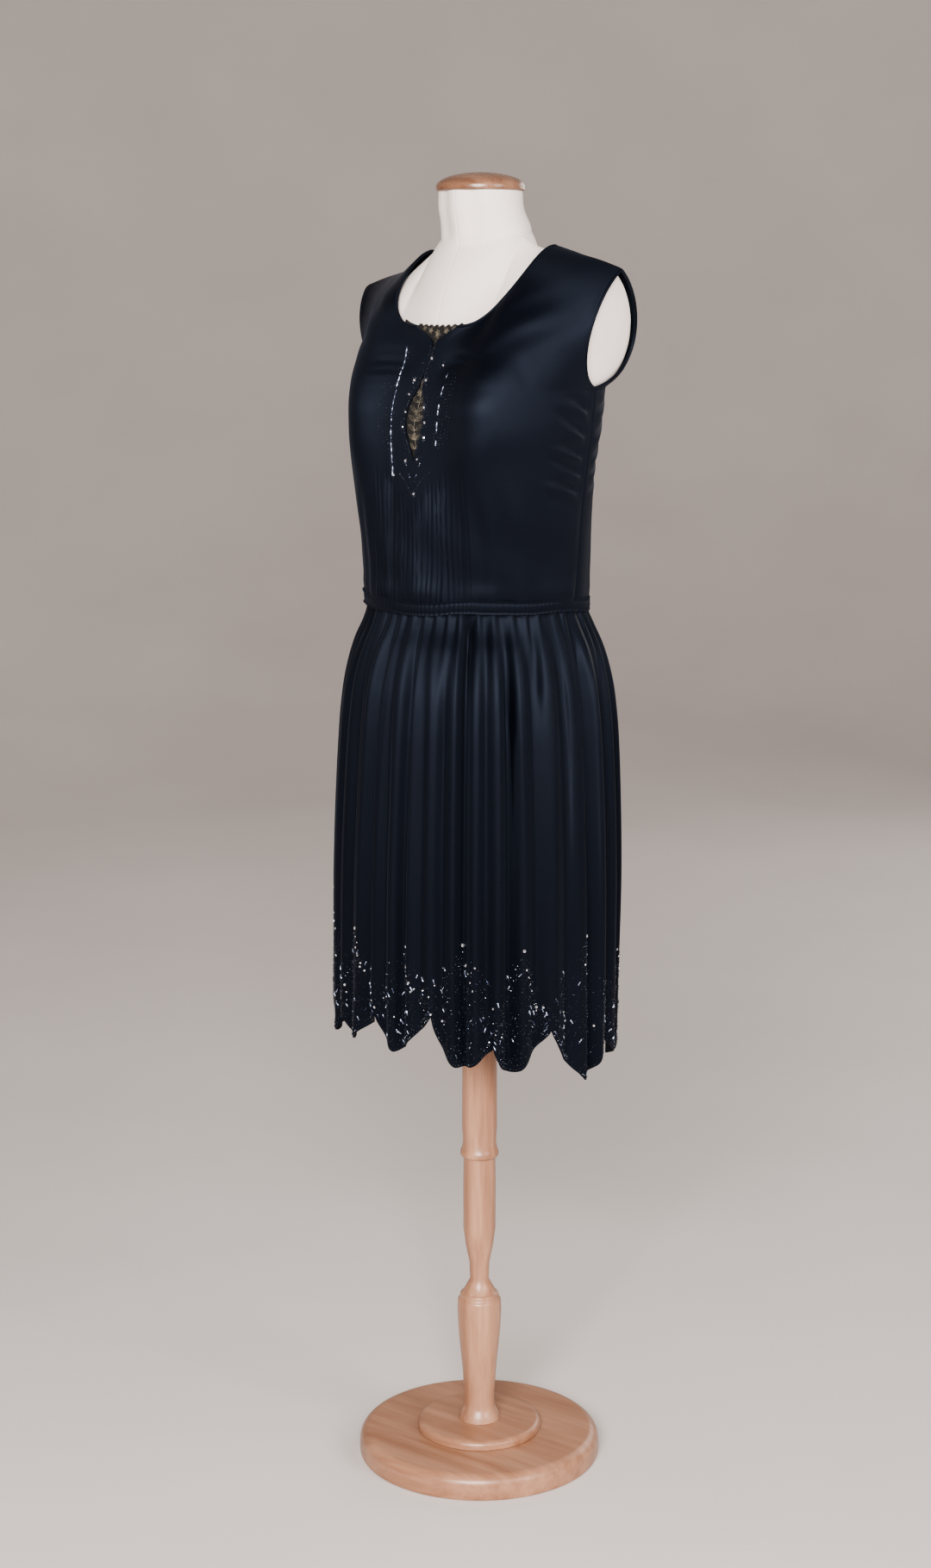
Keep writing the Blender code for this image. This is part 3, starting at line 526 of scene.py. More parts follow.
def dress_up(piece, slot, *nodes):
    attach(piece, "root")
    if nodes:
        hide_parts(*nodes)
    return piece


def sweep(path, radius, sides=10, cyclic=False):
    """Vertices and faces of a round tube along a path. Radius may vary along it."""
    path = np.asarray(path, float)
    count = len(path)
    radius = np.broadcast_to(radius, count)
    if cyclic:
        tangent = np.roll(path, -1, axis=0) - np.roll(path, 1, axis=0)
    else:
        tangent = np.gradient(path, axis=0)
    tangent = unit(tangent)
    side = np.cross(tangent[0], (0.0, 0.0, 1.0))
    if np.linalg.norm(side) < 0.1:
        side = np.cross(tangent[0], (1.0, 0.0, 0.0))
    sides_at = []
    for direction in tangent:
        side = side - direction * np.dot(side, direction)
        side /= np.linalg.norm(side)
        sides_at.append(side)
    side = np.array(sides_at)
    other = np.cross(tangent, side)
    angle = turns(sides)
    ring = np.cos(angle)[None, :, None] * side[:, None] + np.sin(angle)[None, :, None] * other[:, None]
    verts = path[:, None] + ring * radius[:, None, None]
    index = np.arange(count * sides).reshape(count, sides)
    faces = list(grid_faces(count, sides, wrap=True))
    if cyclic:
        faces += list(strip_faces(*(np.append(index[k], index[k, 0]) for k in (-1, 0))))
    else:
        faces += [index[0, ::-1], index[-1]]
    return verts.reshape(-1, 3), faces


def resample(path, step, cyclic=False):
    path = np.asarray(path, float)
    if cyclic:
        path = np.concatenate([path, path[:1]])
    length = np.concatenate([[0.0], np.cumsum(np.linalg.norm(np.diff(path, axis=0), axis=-1))])
    count = max(int(round(length[-1] / step)), 2)
    at = spaced(0.0, length[-1], count + 1)
    if cyclic:
        at = at[:-1]
    return np.stack([np.interp(at, length, path[:, k]) for k in range(path.shape[1])], axis=-1)


def softened(path, rounds, cyclic=False):
    path = np.array(path, float)
    for _ in range(rounds):
        if cyclic:
            path = (np.roll(path, 1, axis=0) + 2 * path + np.roll(path, -1, axis=0)) / 4
        else:
            path[1:-1] = (path[:-2] + 2 * path[1:-1] + path[2:]) / 4
    return path


# ---- materials ----


class Finish:
    """A material with one Principled shader, and short names for the nodes round it."""

    def __init__(self, name, **values):
        self.material = bpy.data.materials.new(name)
        self.material.use_nodes = True
        self.tree = self.material.node_tree
        self.shader = self.tree.nodes["Principled BSDF"]
        self.set_values(self.shader, values)
        self.place = self.node("ShaderNodeTexCoord").outputs["Object"]

    def set_values(self, node, values):
        for key, value in values.items():
            node.inputs[key.replace("_", " ")].default_value = value

    def node(self, kind, **values):
        made = self.tree.nodes.new(kind)
        self.set_values(made, values)
        return made

    def link(self, start, end):
        self.tree.links.new(start, end)

    def stretched(self, scale):
        node = self.node("ShaderNodeMapping", Scale=scale)
        self.link(self.place, node.inputs["Vector"])
        return node.outputs["Vector"]

    def noise(self, scale, detail=3.0, stretch=None, roughness=0.5):
        node = self.node("ShaderNodeTexNoise", Scale=scale, Detail=detail, Roughness=roughness)
        self.link(self.stretched(stretch) if stretch else self.place, node.inputs["Vector"])
        return node.outputs["Fac"]

    def wave(self, scale, direction, distortion):
        node = self.node("ShaderNodeTexWave", Scale=scale, Distortion=distortion, Detail_Scale=3.0)
        node.bands_direction = direction
        self.link(self.place, node.inputs["Vector"])
        return node.outputs["Fac"]

    def ramp(self, value, low, high, low_at=0.3, high_at=0.7):
        node = self.node("ShaderNodeValToRGB")
        first, last = node.color_ramp.elements
        first.position, last.position = low_at, high_at
        first.color, last.color = (*low, 1.0), (*high, 1.0)
        self.link(value, node.inputs["Fac"])
        return node.outputs["Color"]

    def times(self, a, b):
        node = self.node("ShaderNodeMath")
        node.operation = "MULTIPLY"
        self.link(a, node.inputs[0])
        self.link(b, node.inputs[1])
        return node.outputs["Value"]

    def darkened(self, share, colour, shade):
        """The colour multiplied by the shade, as far as the share says."""
        node = self.node("ShaderNodeMix")
        node.data_type = "RGBA"
        node.blend_type = "MULTIPLY"
        node.inputs["Factor"].default_value = share
        self.link(colour, node.inputs[6])
        self.link(shade, node.inputs[7])
        return node.outputs[2]

    def colour(self, value):
        self.link(value, self.shader.inputs["Base Color"])

    def rough(self, value, low, high):
        node = self.node("ShaderNodeMapRange", To_Min=low, To_Max=high)
        self.link(value, node.inputs["Value"])
        self.link(node.outputs["Result"], self.shader.inputs["Roughness"])

    def relief(self, *layers):
        """Bump from layers of (height, strength, distance)."""
        before = None
        for height, strength, distance in layers:
            node = self.node("ShaderNodeBump", Strength=strength, Distance=distance)
            self.link(height, node.inputs["Height"])
            if before:
                self.link(before, node.inputs["Normal"])
            before = node.outputs["Normal"]
        self.link(before, self.shader.inputs["Normal"])


WHITE = (1.0, 1.0, 1.0)


def satin_finish(name, dark, light):
    tints = {"Specular_Tint": (0.60, 0.72, 1.0, 1.0), "Sheen_Tint": (0.45, 0.55, 0.80, 1.0)}
    made = Finish(
        name, Sheen_Weight=0.03, Sheen_Roughness=0.5, Specular_IOR_Level=0.19, Anisotropic=0.65, **tints
    )
    patches = made.noise(9.0, 4.0, (1.0, 1.0, 0.45))
    warp = made.noise(1.0, 2.0, (1500.0, 1500.0, 60.0))
    tone, threads = made.ramp(patches, dark, light), made.ramp(warp, (0.55, 0.55, 0.6), WHITE)
    made.colour(made.darkened(0.35, tone, threads))
    made.rough(made.noise(14.0, 3.0, (1.0, 1.0, 0.5)), 0.51, 0.63)
    crumple = made.noise(26.0, 3.0, (1.0, 1.0, 0.55))
    made.relief((warp, 0.10, 0.0003), (crumple, 0.18, 0.0016))
    return made.material


def net_finish():
    made = Finish("net_dark", Sheen_Weight=0.1, Specular_IOR_Level=0.2)
    threads = made.times(made.wave(420.0, "X", 0.4), made.wave(420.0, "Z", 0.4))
    made.colour(made.ramp(threads, (0.004, 0.004, 0.006), (0.034, 0.029, 0.021)))
    made.rough(made.noise(60.0), 0.6, 0.85)
    made.relief((threads, 0.5, 0.0004))
    return made.material


def lace_finish():
    made = Finish("lace_thread", Sheen_Weight=0.15, Specular_IOR_Level=0.4)
    made.colour(made.ramp(made.noise(120.0, 3.0), (0.022, 0.019, 0.014), (0.190, 0.160, 0.110), 0.40, 0.72))
    made.rough(made.noise(90.0), 0.40, 0.62)
    made.relief((made.noise(1400.0, 2.0), 0.4, 0.0002))
    return made.material


def linen_finish():
    made = Finish("linen_cream", Sheen_Weight=0.08, Specular_IOR_Level=0.25)
    across, along = made.wave(330.0, "X", 0.6), made.wave(360.0, "Z", 0.6)
    weave = made.times(across, along)
    stain = made.noise(7.0, 5.0)
    base = made.ramp(stain, (0.73, 0.655, 0.60), (0.83, 0.775, 0.735))
    made.colour(made.darkened(0.18, base, made.ramp(weave, (0.80, 0.76, 0.72), WHITE, 0.0, 0.6)))
    made.rough(made.noise(40.0), 0.78, 0.92)
    made.relief((weave, 0.25, 0.0003), (made.noise(45.0, 3.0), 0.12, 0.0015))
    return made.material


def wood_finish(name, dark, light, grain_stretch, gloss=(0.30, 0.42)):
    made = Finish(name, Specular_IOR_Level=0.5, Coat_Weight=0.15, Coat_Roughness=0.30)
    figure = made.noise(1.0, 6.0, grain_stretch, 0.6)
    flecks = made.noise(1.0, 2.0, tuple(6.0 * s for s in grain_stretch), 0.7)
    tone = made.ramp(figure, dark, light, 0.32, 0.68)
    shade = made.ramp(flecks, (0.70, 0.62, 0.55), WHITE, 0.30, 0.55)
    made.colour(made.darkened(0.30, tone, shade))
    made.rough(flecks, *gloss)
    made.relief((flecks, 0.06, 0.0004))
    return made.material


def glass_finish(name, dark, light, roughness, metallic=0.0, patch=160.0, where=(0.42, 0.58)):
    made = Finish(name, Metallic=metallic, Specular_IOR_Level=0.8, Coat_Weight=0.5, Coat_Roughness=0.05)
    made.colour(made.ramp(made.noise(patch, 1.0), dark, light, *where))
    made.rough(made.noise(90.0), *roughness)
    return made.material


SATIN = satin_finish("satin_navy", (0.0011, 0.0014, 0.0030), (0.0019, 0.0024, 0.0049))
BINDING = satin_finish("satin_binding", (0.0012, 0.0016, 0.0034), (0.0020, 0.0026, 0.0052))
NET_DARK = net_finish()
LACE = lace_finish()
LINEN = linen_finish()
BEECH_UP = wood_finish("beech_upright", (0.26, 0.122, 0.070), (0.45, 0.252, 0.162), (55.0, 55.0, 3.2))
BEECH_FLAT = wood_finish("beech_flat", (0.27, 0.126, 0.070), (0.41, 0.222, 0.140), (3.5, 48.0, 48.0))
CAP_WOOD = wood_finish(
    "cap_wood_dark", (0.145, 0.066, 0.036), (0.27, 0.146, 0.092), (6.0, 70.0, 70.0), (0.22, 0.34)
)
SEED = glass_finish(
    "bead_seed", (0.014, 0.018, 0.032), (0.15, 0.165, 0.205), (0.10, 0.26), 0.5, 240.0, (0.50, 0.70)
)
BUGLE = glass_finish(
    "bead_bugle", (0.018, 0.028, 0.064), (0.36, 0.42, 0.54), (0.10, 0.24), 0.6, 75.0, (0.44, 0.60)
)
STONE = glass_finish("bead_stone", (0.70, 0.72, 0.78), (0.95, 0.95, 0.97), (0.03, 0.10), 0.85)


# ---- bodice ----

Tuck = namedtuple("Tuck", "x top depth")


def tuck_rows():
    """The pressed tucks between the beaded panel and the seam: about 7 mm apart, none quite alike."""
    made = np.random.RandomState(11)
    rows, x = [], -0.066
    while x < 0.080:
        middle = abs(x + 0.004)
        top = 1.262 + 0.05 * min(middle / 0.05, 1.0) + made.uniform(-0.010, 0.010)
        strong = 1.0 - 0.80 * min(max(middle - 0.035, 0.0) / 0.04, 1.0)
        rows.append(Tuck(x, top, made.uniform(0.0008, 0.0028) * strong))
        x += made.uniform(0.0058, 0.0086)
    return rows


def tucks(x, z):
    """Depth of the tucks: each a narrow trough with a soft fold beside it."""
    depth = 0.0 * x
    for k, tuck in enumerate(tuck_rows()):
        at = tuck.x + 0.0009 * np.sin(z * 31.0 + k) + 0.004 * (SEAM_Z - z) * np.sign(tuck.x)
        near = ease_in((tuck.top - z) / 0.030)
        trough = bump_at(x, at, 0.0012) - 0.45 * bump_at(x, at + 0.0026, 0.0014)
        depth = depth + tuck.depth * near * trough
    return depth


def side_gathers(turn, z):
    """Short gathers at each side seam, below the armhole: deepest near the seam, no two of one length."""
    away = radians(89) - np.abs(turn)
    slant = z - 0.060 * away + 0.0032 * np.sin(z * 57.0 + 1.0)
    reach = radians(16.0) + radians(4.0) * np.sin(slant * 131.0)
    place = ease_in((away - radians(1.0)) / radians(5.5)) * (1 - ease_in((away - radians(7.0)) / reach))
    tall = ease_in((z - 1.258) / 0.030) * ease_in((1.406 - z) / 0.026)
    row = TAU * (slant - 1.30) / 0.0250
    return place * tall * (0.0033 * np.cos(row) + 0.0008 * np.cos(2 * row + 0.8))


def dents(x, z, across, bend, up, start, slant):
    """Low unevenness all over the cloth."""
    return 0.0010 * np.sin(x * across + 2.0 * np.sin(z * bend)) * np.sin(z * up + start + x * slant)


def blousing(x, z, pitch):
    """The swell of the cloth just above the seam."""
    return -0.0022 * bump_at(z, SEAM_Z + 0.016, 0.012) * (0.6 + 0.4 * np.sin(x * pitch))


def front_creases(x, z):
    """Soft troughs of the front, away from the tucks: positive is inward."""
    wide = np.abs(x)
    by_armhole = 0.0011 * bump_at(wide, 0.133 - (z - 1.42) * 0.35, 0.0060) * bump_at(z, 1.416, 0.020)
    shirring = 0.00032 * np.cos(TAU * (z + 0.16 * x) / 0.0125 + 1.6 * np.sin(x * 61 + 1.0))
    shirring *= ease_in((wide - 0.028) / 0.02) * ease_in((0.115 - wide) / 0.05) * bump_at(z, 1.432, 0.017)
    below = 0.0010 * bump_at(wide, 0.118 + 0.02 * np.sin(z * 14.0), 0.012) * ease_in((1.36 - z) / 0.05)
    low = 0.0009 * np.sin(wide * 260.0 + 3.0 * np.sin(z * 9.0)) * ease_in((wide - 0.06) / 0.02)
    low *= ease_in((1.30 - z) / 0.06)
    drag = 0.0011 * np.sin((z - 0.55 * wide) * 150.0) * bump_at(wide, 0.120, 0.030) * bump_at(z, 1.49, 0.035)
    uneven = dents(x, z, 43.0, 21.0, 37.0, 1.3, 11.0)
    shelf = 0.0032 * bump_at(z, 1.434 + 0.10 * (wide - 0.04), 0.016) - 0.0014 * bump_at(z, 1.378, 0.018)
    uneven = uneven + shelf * ease_in((wide - 0.010) / 0.03) * ease_in((0.130 - wide) / 0.04)
    by_armhole = by_armhole * np.where(x > 0, 1.0, 0.7)
    return by_armhole + shirring + below + low + drag + uneven + blousing(x, z, 90.0)


def back_creases(x, z):
    low = 0.0016 * np.sin(x * 190.0 + 2.0 * np.sin(z * 8.0)) * ease_in((1.30 - z) / 0.10)
    wide = np.abs(x)
    drag = 0.0012 * np.sin((z - 0.5 * wide) * 120.0) * bump_at(wide, 0.115, 0.03) * bump_at(z, 1.47, 0.04)
    return low + drag + dents(x, z, 39.0, 19.0, 31.0, 0.4, 9.0) + blousing(x, z, 80.0)


def bodice_grid(front, across, lower_z, upper_rows):
    """The outside of one side of the bodice, from the seam to the neckline and shoulder."""
    turn = turn_at(across, front)
    tops = neckline_height(front, across)
    rows = [bodice_wall(turn, seam_row(turn, z)) for z in lower_z]
    rows += [yoke(bodice_wall, EASE, front, across, tops * k / upper_rows) for k in range(1, upper_rows + 1)]
    grid = np.array(rows)
    x, z = grid[..., 0], grid[..., 2]
    facing = turn[None, :] + 0 * z
    away = np.where(np.abs(facing) > pi / 2, np.abs(facing) - pi, facing)
    inward = front_creases(x, z) + tucks(x, z) if front else back_creases(x, z)
    inward = inward * ease_in((1.0 - np.abs(across)) / 0.05)[None, :]
    inward += side_gathers(facing if front else away, z) * (1.0 if front else 0.3)
    steps = np.linalg.norm(np.diff(grid, axis=0, append=grid[-1:]), axis=-1)
    inward *= ease_in(np.cumsum(steps[::-1], axis=0)[::-1] / 0.012)
    outward = normals(grid) * (1.0 if front else -1.0)
    grid -= outward * inward[..., None]
    grid -= outward * (0.0007 * ease_in(1 - (1 - np.abs(across)) / 0.012))[None, :, None]
    return grid, tops


def part_seams(outer, inner, tops, sign, lower_count):
    for k in (0, -1):
        for grid in (outer, inner):
            side = column(BODICE, "side_y", grid[:lower_count, k, 2])
            grid[:lower_count, k, 1] = side - sign * GAP * 0.5
    on_shoulder = tops >= 1.0
    outer[-1, on_shoulder, 1] -= sign * GAP * 0.5
    inner[-1, on_shoulder, 1] = outer[-1, on_shoulder, 1]
    inner[-1, on_shoulder, 2] = outer[-1, on_shoulder, 2] - CLOTH


def front_columns():
    half = np.concatenate([spaced(0.0, 0.56, 98), spaced(0.56, 1.0, 44)[1:]])
    return snap_to_neckline(mirrored(half))


def lower_heights(coarse, fine):
    return np.concatenate([spaced(SEAM_Z, FINE_ROWS_Z, coarse)[:-1], spaced(FINE_ROWS_Z, CHEST_Z, fine)])


def make_front():
    across, lower_z = front_columns(), lower_heights(24, 56)
    outer, tops = bodice_grid(True, across, lower_z, 52)
    inner = outer - CLOTH * normals(outer)
    part_seams(outer, inner, tops, 1.0, len(lower_z))
    middle = int(np.argmin(np.abs(across)))
    first = int(np.flatnonzero(outer[:, middle, 2] > SLIT[0].z)[0]) - 1
    verts, faces, edges = [], [], {}
    for side, pick in ((-1.0, slice(0, middle + 1)), (1.0, slice(middle, None))):
        flip = np.array([side, 1.0, 1.0])
        halves = [lean_over(open_slit(grid[:, pick] * flip) * flip) for grid in (outer, inner)]
        left, right = (0, first) if side < 0 else (first, 0)
        size = halves[0].shape[:2]
        faces.append(shell_faces(*size, sum(len(v) for v in verts), left=left, right=right))
        verts.append(np.concatenate([halves[0].reshape(-1, 3), halves[1].reshape(-1, 3)]))
        edges[side] = (halves[0] + halves[1]) / 2
    verts, faces = np.concatenate(verts), np.concatenate(faces)
    made = add_mesh("dress_bodice_front", verts, faces, SATIN, 60, lambda co: abs(co.x) < 0.02)
    return made, edges, across, len(lower_z), outer


def make_back():
    across = snap_to_neckline(spaced(-1.0, 1.0, 201))
    lower_z = lower_heights(20, 46)
    outer, tops = bodice_grid(False, across, lower_z, 46)
    inner = outer + CLOTH * normals(outer)
    part_seams(outer, inner, tops, -1.0, len(lower_z))
    made = add_wall("dress_bodice_back", outer, inner, SATIN)
    return made, (outer + inner) / 2, across, len(lower_z)


front, front_halves, front_across, front_lower, front_outer = make_front()
back, back_middle, back_across, back_lower = make_back()
dress_up(front, "satin", "bodice_front")
dress_up(back, "satin", "bodice_back")


def neckline_paths(side):
    """The edge of the neckline on one side, from the notch at centre front to centre back."""
    crossing = abs(crossing_columns()[1 if side > 0 else 0])
    half = front_halves[side][-1]
    run = half if side > 0 else half[::-1]
    wide = np.sort(np.abs(front_across[front_across * side >= -1e-9]))
    run = run[: np.searchsorted(wide, crossing) + 1]
    pick = np.flatnonzero((back_across * side > -1e-9) & (back_across * side < crossing - 1e-4))
    pick = pick if side > 0 else pick[::-1]
    return np.concatenate([run, back_middle[-1, pick][::-1]])


def rolled_edge(name, path, cyclic=False):
    path = softened(resample(path, EDGE_STEP, cyclic), 3, cyclic)
    return add_mesh(name, *sweep(path, ROLL_RADIUS, 10, cyclic), BINDING, 60)


def neck_binding():
    left, right = neckline_paths(1.0), neckline_paths(-1.0)
    return rolled_edge("dress_neck_binding", np.concatenate([left, right[::-1][1:]]))


def armhole_binding(name, side):
    k = -1 if side > 0 else 0
    up = front_halves[side][front_lower - 1 :, k]
    down = back_middle[back_lower - 1 :, k][::-1]
    return rolled_edge(name, np.concatenate([up, down[1:-1]]), True)


binding = dress_up(neck_binding(), "satin", "neck_binding")
armhole_left = dress_up(armhole_binding("dress_armhole_left", 1.0), "satin", "armhole_binding_left")
armhole_right = dress_up(armhole_binding("dress_armhole_right", -1.0), "satin", "armhole_binding_right")


# ---- net and lace behind the slit ----


def surface_tree(piece):
    mesh = piece.data
    faces = [tuple(face.vertices) for face in mesh.polygons]
    return BVHTree.FromPolygons([v.co.copy() for v in mesh.vertices], faces)


def scallop(x):
    """How far the scalloped edge of the net shows above the neckline."""
    return 0.0032 * np.abs(np.sin(pi * x / 0.009)) * ease_in((0.038 - np.abs(x)) / 0.006)


def make_net():
    wide = np.flatnonzero(np.abs(front_across) < 0.25)
    rows = np.flatnonzero(front_outer[:, len(front_across) // 2, 2] > NET_LOW_Z)[::2]
    rows = np.append(rows, len(front_outer) - 1)
    smooth_grid = lean_over(front_outer[np.ix_(rows, wide)])
    up = smooth_grid[-1] - smooth_grid[-2]
    rim = 0.0002 + scallop(front_outer[-1, wide, 0])
    rim = smooth_grid[-1] + unit(up) * rim[:, None]
    smooth_grid = np.concatenate([smooth_grid, rim[None]])
    normal = normals(smooth_grid)
    outer = smooth_grid - (CLOTH + NET_BEHIND) * normal
    return add_wall("dress_net", outer, outer - NET * normal, NET_DARK)


net = dress_up(make_net(), "net", "front_insert")
net_tree = surface_tree(net)


def on_front(tree, x, z, lift):
    """The point of the front at x and z, lifted off the surface, and its normal. None where there is none."""
    hit = tree.ray_cast(Vector((x, -1.0, z)), Vector((0.0, 1.0, 0.0)))
    if hit[0] is None:
        return None
    normal = hit[1] if hit[1].y < 0 else -hit[1]
    return np.array(hit[0] + normal * lift), np.array(normal)


# Centre (x, z) and size of each small flower of the lace
FLOWERS = (
    (0.0, 1.345, 0.0042), (0.0, 1.371, 0.0052), (0.0, 1.396, 0.0042), (0.0, 1.466, 0.0050),
    (-0.012, 1.4705, 0.0036), (0.012, 1.4705, 0.0036), (-0.0225, 1.4735, 0.003), (0.0225, 1.4735, 0.003),
)


def lace_lines():
    """The lace's threads as flat lines of (x, z), with a radius each: a stem with leaves, small flowers and a
    scalloped top."""
    lines = []
    stem = [(0.0016 * sin(z * 110.0), z) for z in spaced(LACE_LOW_Z, LACE_HIGH_Z, 60)]
    lines.append((stem, 0.00045))
    for k, z in enumerate(spaced(1.330, 1.408, 8)):
        for side in (-1, 1):
            reach = 0.0115 * cos((z - 1.370) * 20.0)
            loop = [
                (side * reach * t, z + 0.006 * t + (0.0024 * sin(pi * t)) * bend)
                for bend, run in ((1, spaced(0, 1, 7)), (-1, spaced(1, 0, 7)))
                for t in run
            ]
            lines.append((loop, 0.00042))
            lines.append(([(0.0, z), (side * reach * 0.8, z + 0.0048)], 0.00030))
    for cx, cz, size in FLOWERS:
        petals = [(size * (0.62 + 0.38 * cos(5 * a)), a) for a in spaced(0.0, TAU, 41)]
        eye = [(0.0009, a) for a in spaced(0.0, TAU, 9)]
        for ring, radius in ((petals, 0.00042), (eye, 0.00050)):
            lines.append(([(cx + r * cos(a), cz + r * sin(a)) for r, a in ring], radius))
    x = spaced(-0.036, 0.036, 145)
    rim = np.interp(x, front_outer[-1, :, 0], front_outer[-1, :, 2])
    for drop, radius in ((0.0003, 0.00050), (0.0021, 0.00030)):
        lines.append((list(zip(x, rim + scallop(x) - drop)), radius))
    return lines


def add_threads(name, tree, lines, finish, lift):
    verts, faces, total = [], [], 0
    for line, radius in lines:
        found = [on_front(tree, x + float(slit_shift(x, z)), z, lift) for x, z in line]
        found = [f[0] for f in found if f is not None]
        if len(found) < 2:
            continue
        more, made = sweep(np.array(found), radius, 4)
        faces += [np.asarray(f) + total for f in made]
        verts.append(more)
        total += len(more)
    return add_mesh(name, np.concatenate(verts), faces, finish)


lace = dress_up(add_threads("dress_lace", net_tree, lace_lines(), LACE, 0.0004), "net")


# ---- waist band ----


def make_band():
    turn = turns(720)
    degrees, out = np.degrees(turn), outwards(turn)
    flare = 0.0008 + 0.0018 * bump_at(degrees, 306.0, 5.0) + 0.0016 * bump_at(degrees, 128.0, 6.0)
    pucker = np.sin(150 * turn + 2.5 * np.sin(11 * turn)) * (0.7 + 0.3 * np.sin(5 * turn))
    outer, inner = [], []
    for row in spaced(-1.0, 1.0, 15):
        height = seam_z(turn) + row * BAND_HALF + 0.0005 * wander(turn * 9, 5)
        height = height + 0.0013 * wander(turn, 6, 4, 3.0) * (row < 0.5)
        base = bodice_wall(turn, height)
        fat = BAND_THICK * (0.30 + 0.42 * (1 - abs(row) ** 2.5))
        fat = fat - 0.0004 * (bump_at(row, 0.62, 0.14) + bump_at(row, -0.62, 0.14))
        fat = fat + pucker * 0.00055 * (0.45 + 0.55 * bump_at(abs(row), 0.75, 0.35))
        fat = fat + flare * ease_in((abs(row) - 0.70) / 0.30)
        outer.append(base + out * (fat + 2.2 * GAP)[:, None])
        inner.append(base + out * 2.2 * GAP)
    return add_wall("dress_waist_band", np.array(outer), np.array(inner), SATIN, 70, wrap=True)


band = dress_up(make_band(), "satin", "waist_band")


# ---- skirt ----

SKIRT_GATHERS = 48


def fold_depth(turn, below):
    degrees = np.degrees(turn) % 360.0
    rows = [(row.turn % 360.0, row.depth, row.start) for row in VALLEYS]
    rows += [((row.turn + 180.0 + 4.0) % 360.0, row.depth, row.start) for row in VALLEYS[1:-1]]
    at, depths, starts = (np.pad(values, 1, "wrap") for values in np.array(sorted(rows)).T)
    at[0] -= 360.0
    at[-1] += 360.0
    k = np.clip(np.searchsorted(at, degrees, side="right") - 1, 0, len(at) - 2)
    phase = (degrees - at[k]) / (at[k + 1] - at[k])
    near = np.where(phase < 0.5, k, k + 1)
    depth = depths[near] * ease_in(below / starts[near])
    return depth * (0.5 + 0.5 * np.cos(TAU * phase)) ** 1.4


def gather_depth(turn, below):
    """Gathers below the seam, uneven in width, depth and length."""
    uneven = turn + 0.030 * wander(turn, 3, 6, 5.0)
    fade = ease_in(below / 0.012) * (1 - 0.80 * ease_in(below / (0.15 + 0.06 * wander(turn, 8, 5, 9.0))))
    coarse = 0.5 - 0.5 * np.cos(SKIRT_GATHERS * uneven)
    fine = 0.5 - 0.5 * np.cos(2 * SKIRT_GATHERS * uneven + 2.0 * np.sin(5 * turn))
    short = ease_in(below / 0.008) * (1 - ease_in(below / 0.055))
    return (0.0004 + 0.0032 * fade) * coarse + 0.0011 * short * fine


def small_folds(turn, below):
    """Shallow folds between the long ones."""
    drift = turn + 0.05 * np.sin(below * 9.0 + 4.0 * np.sin(turn * 3.0)) * 0.35
    line = wander(drift, 21, 7, 17.0)
    return 0.0021 * (0.5 + 0.5 * line) * ease_in((below - 0.03) / 0.12)


def hem_z(turn):
    degrees = np.degrees(turn)
    starts, notches, tips, leans, sharp = np.array(PETALS).T
    degrees = (degrees - starts[0]) % 360.0 + starts[0]
    ends = np.append(starts[1:], starts[0] + 360.0)
    k = np.clip(np.searchsorted(starts, degrees + 1e-6, side="right") - 1, 0, len(PETALS) - 1)
    share = np.clip((degrees - starts[k]) / (ends[k] - starts[k]), 0.0, 1.0)
    edge = notches[k] + (np.roll(notches, -1)[k] - notches[k]) * share
    leaning = share - leans[k] * np.sin(pi * share)
    round_tip = np.sin(pi * np.clip(leaning, 0.0, 1.0)) ** 0.75
    sharp_tip = 1 - np.abs(2 * np.clip(leaning, 0.0, 1.0) - 1) ** 1.25
    shape = round_tip + (sharp_tip - round_tip) * sharp[k]
    return edge + (tips[k] - edge) * shape


def skirt_wall(turn, z):
    surface = section(SKIRT, turn, z)
    below = np.maximum(seam_z(turn) - z, 0.0)
    inward = fold_depth(turn, below) + gather_depth(turn, below) + small_folds(turn, below)
    flutter = 0.0016 * wander(turn, 33, 6, 12.0) * ease_in((0.68 - z) / 0.08)
    return surface - outwards(turn) * (inward + flutter - 0.0008)[..., None]


def skirt_panel(name, first, last):
    turn = spaced(first, last, 357)
    notches = np.radians([petal.notch_turn + lap for petal in PETALS for lap in (0.0, 360.0)])
    for notch in notches[(notches > first + 0.01) & (notches < last - 0.01)]:
        turn[np.argmin(np.abs(turn - notch))] = notch
    top, hem = seam_z(turn) - GAP, hem_z(turn)
    shares = np.concatenate([spaced(0.0, 0.14, 26)[:-1], spaced(0.14, 1.0, 84)])
    line = [top + (0.66 - top) * share for share in shares[:-14]]
    line += [line[-1] + (hem - line[-1]) * share for share in spaced(0.0, 1.0, 24)[1:]]
    outer = np.array([skirt_wall(turn, z) for z in line[::-1]])
    inner = outer - CLOTH * normals(outer)
    for k in (0, -1):
        outer[:, k, 1] -= 0.5 * GAP * np.sign(np.cos((first + last) / 2))
        inner[:, k] = outer[:, k] - CLOTH * np.sign(outer[:, k, :1]) * np.array([1.0, 0.0, 0.0])
    return add_wall(name, outer, inner, SATIN)


skirt_front = dress_up(skirt_panel("dress_skirt_front", -pi / 2, pi / 2), "satin", "skirt_front")
skirt_back = dress_up(skirt_panel("dress_skirt_back", pi / 2, 3 * pi / 2), "satin", "skirt_back")


# ---- beads ----


def ringed(rings, sides):
    """A small solid along X, from rings of (x, radius), and its faces."""
    verts = [(x, r * cos(a), r * sin(a)) for x, r in rings for a in turns(sides)]
    return np.array(verts), drum_faces(len(rings), sides)


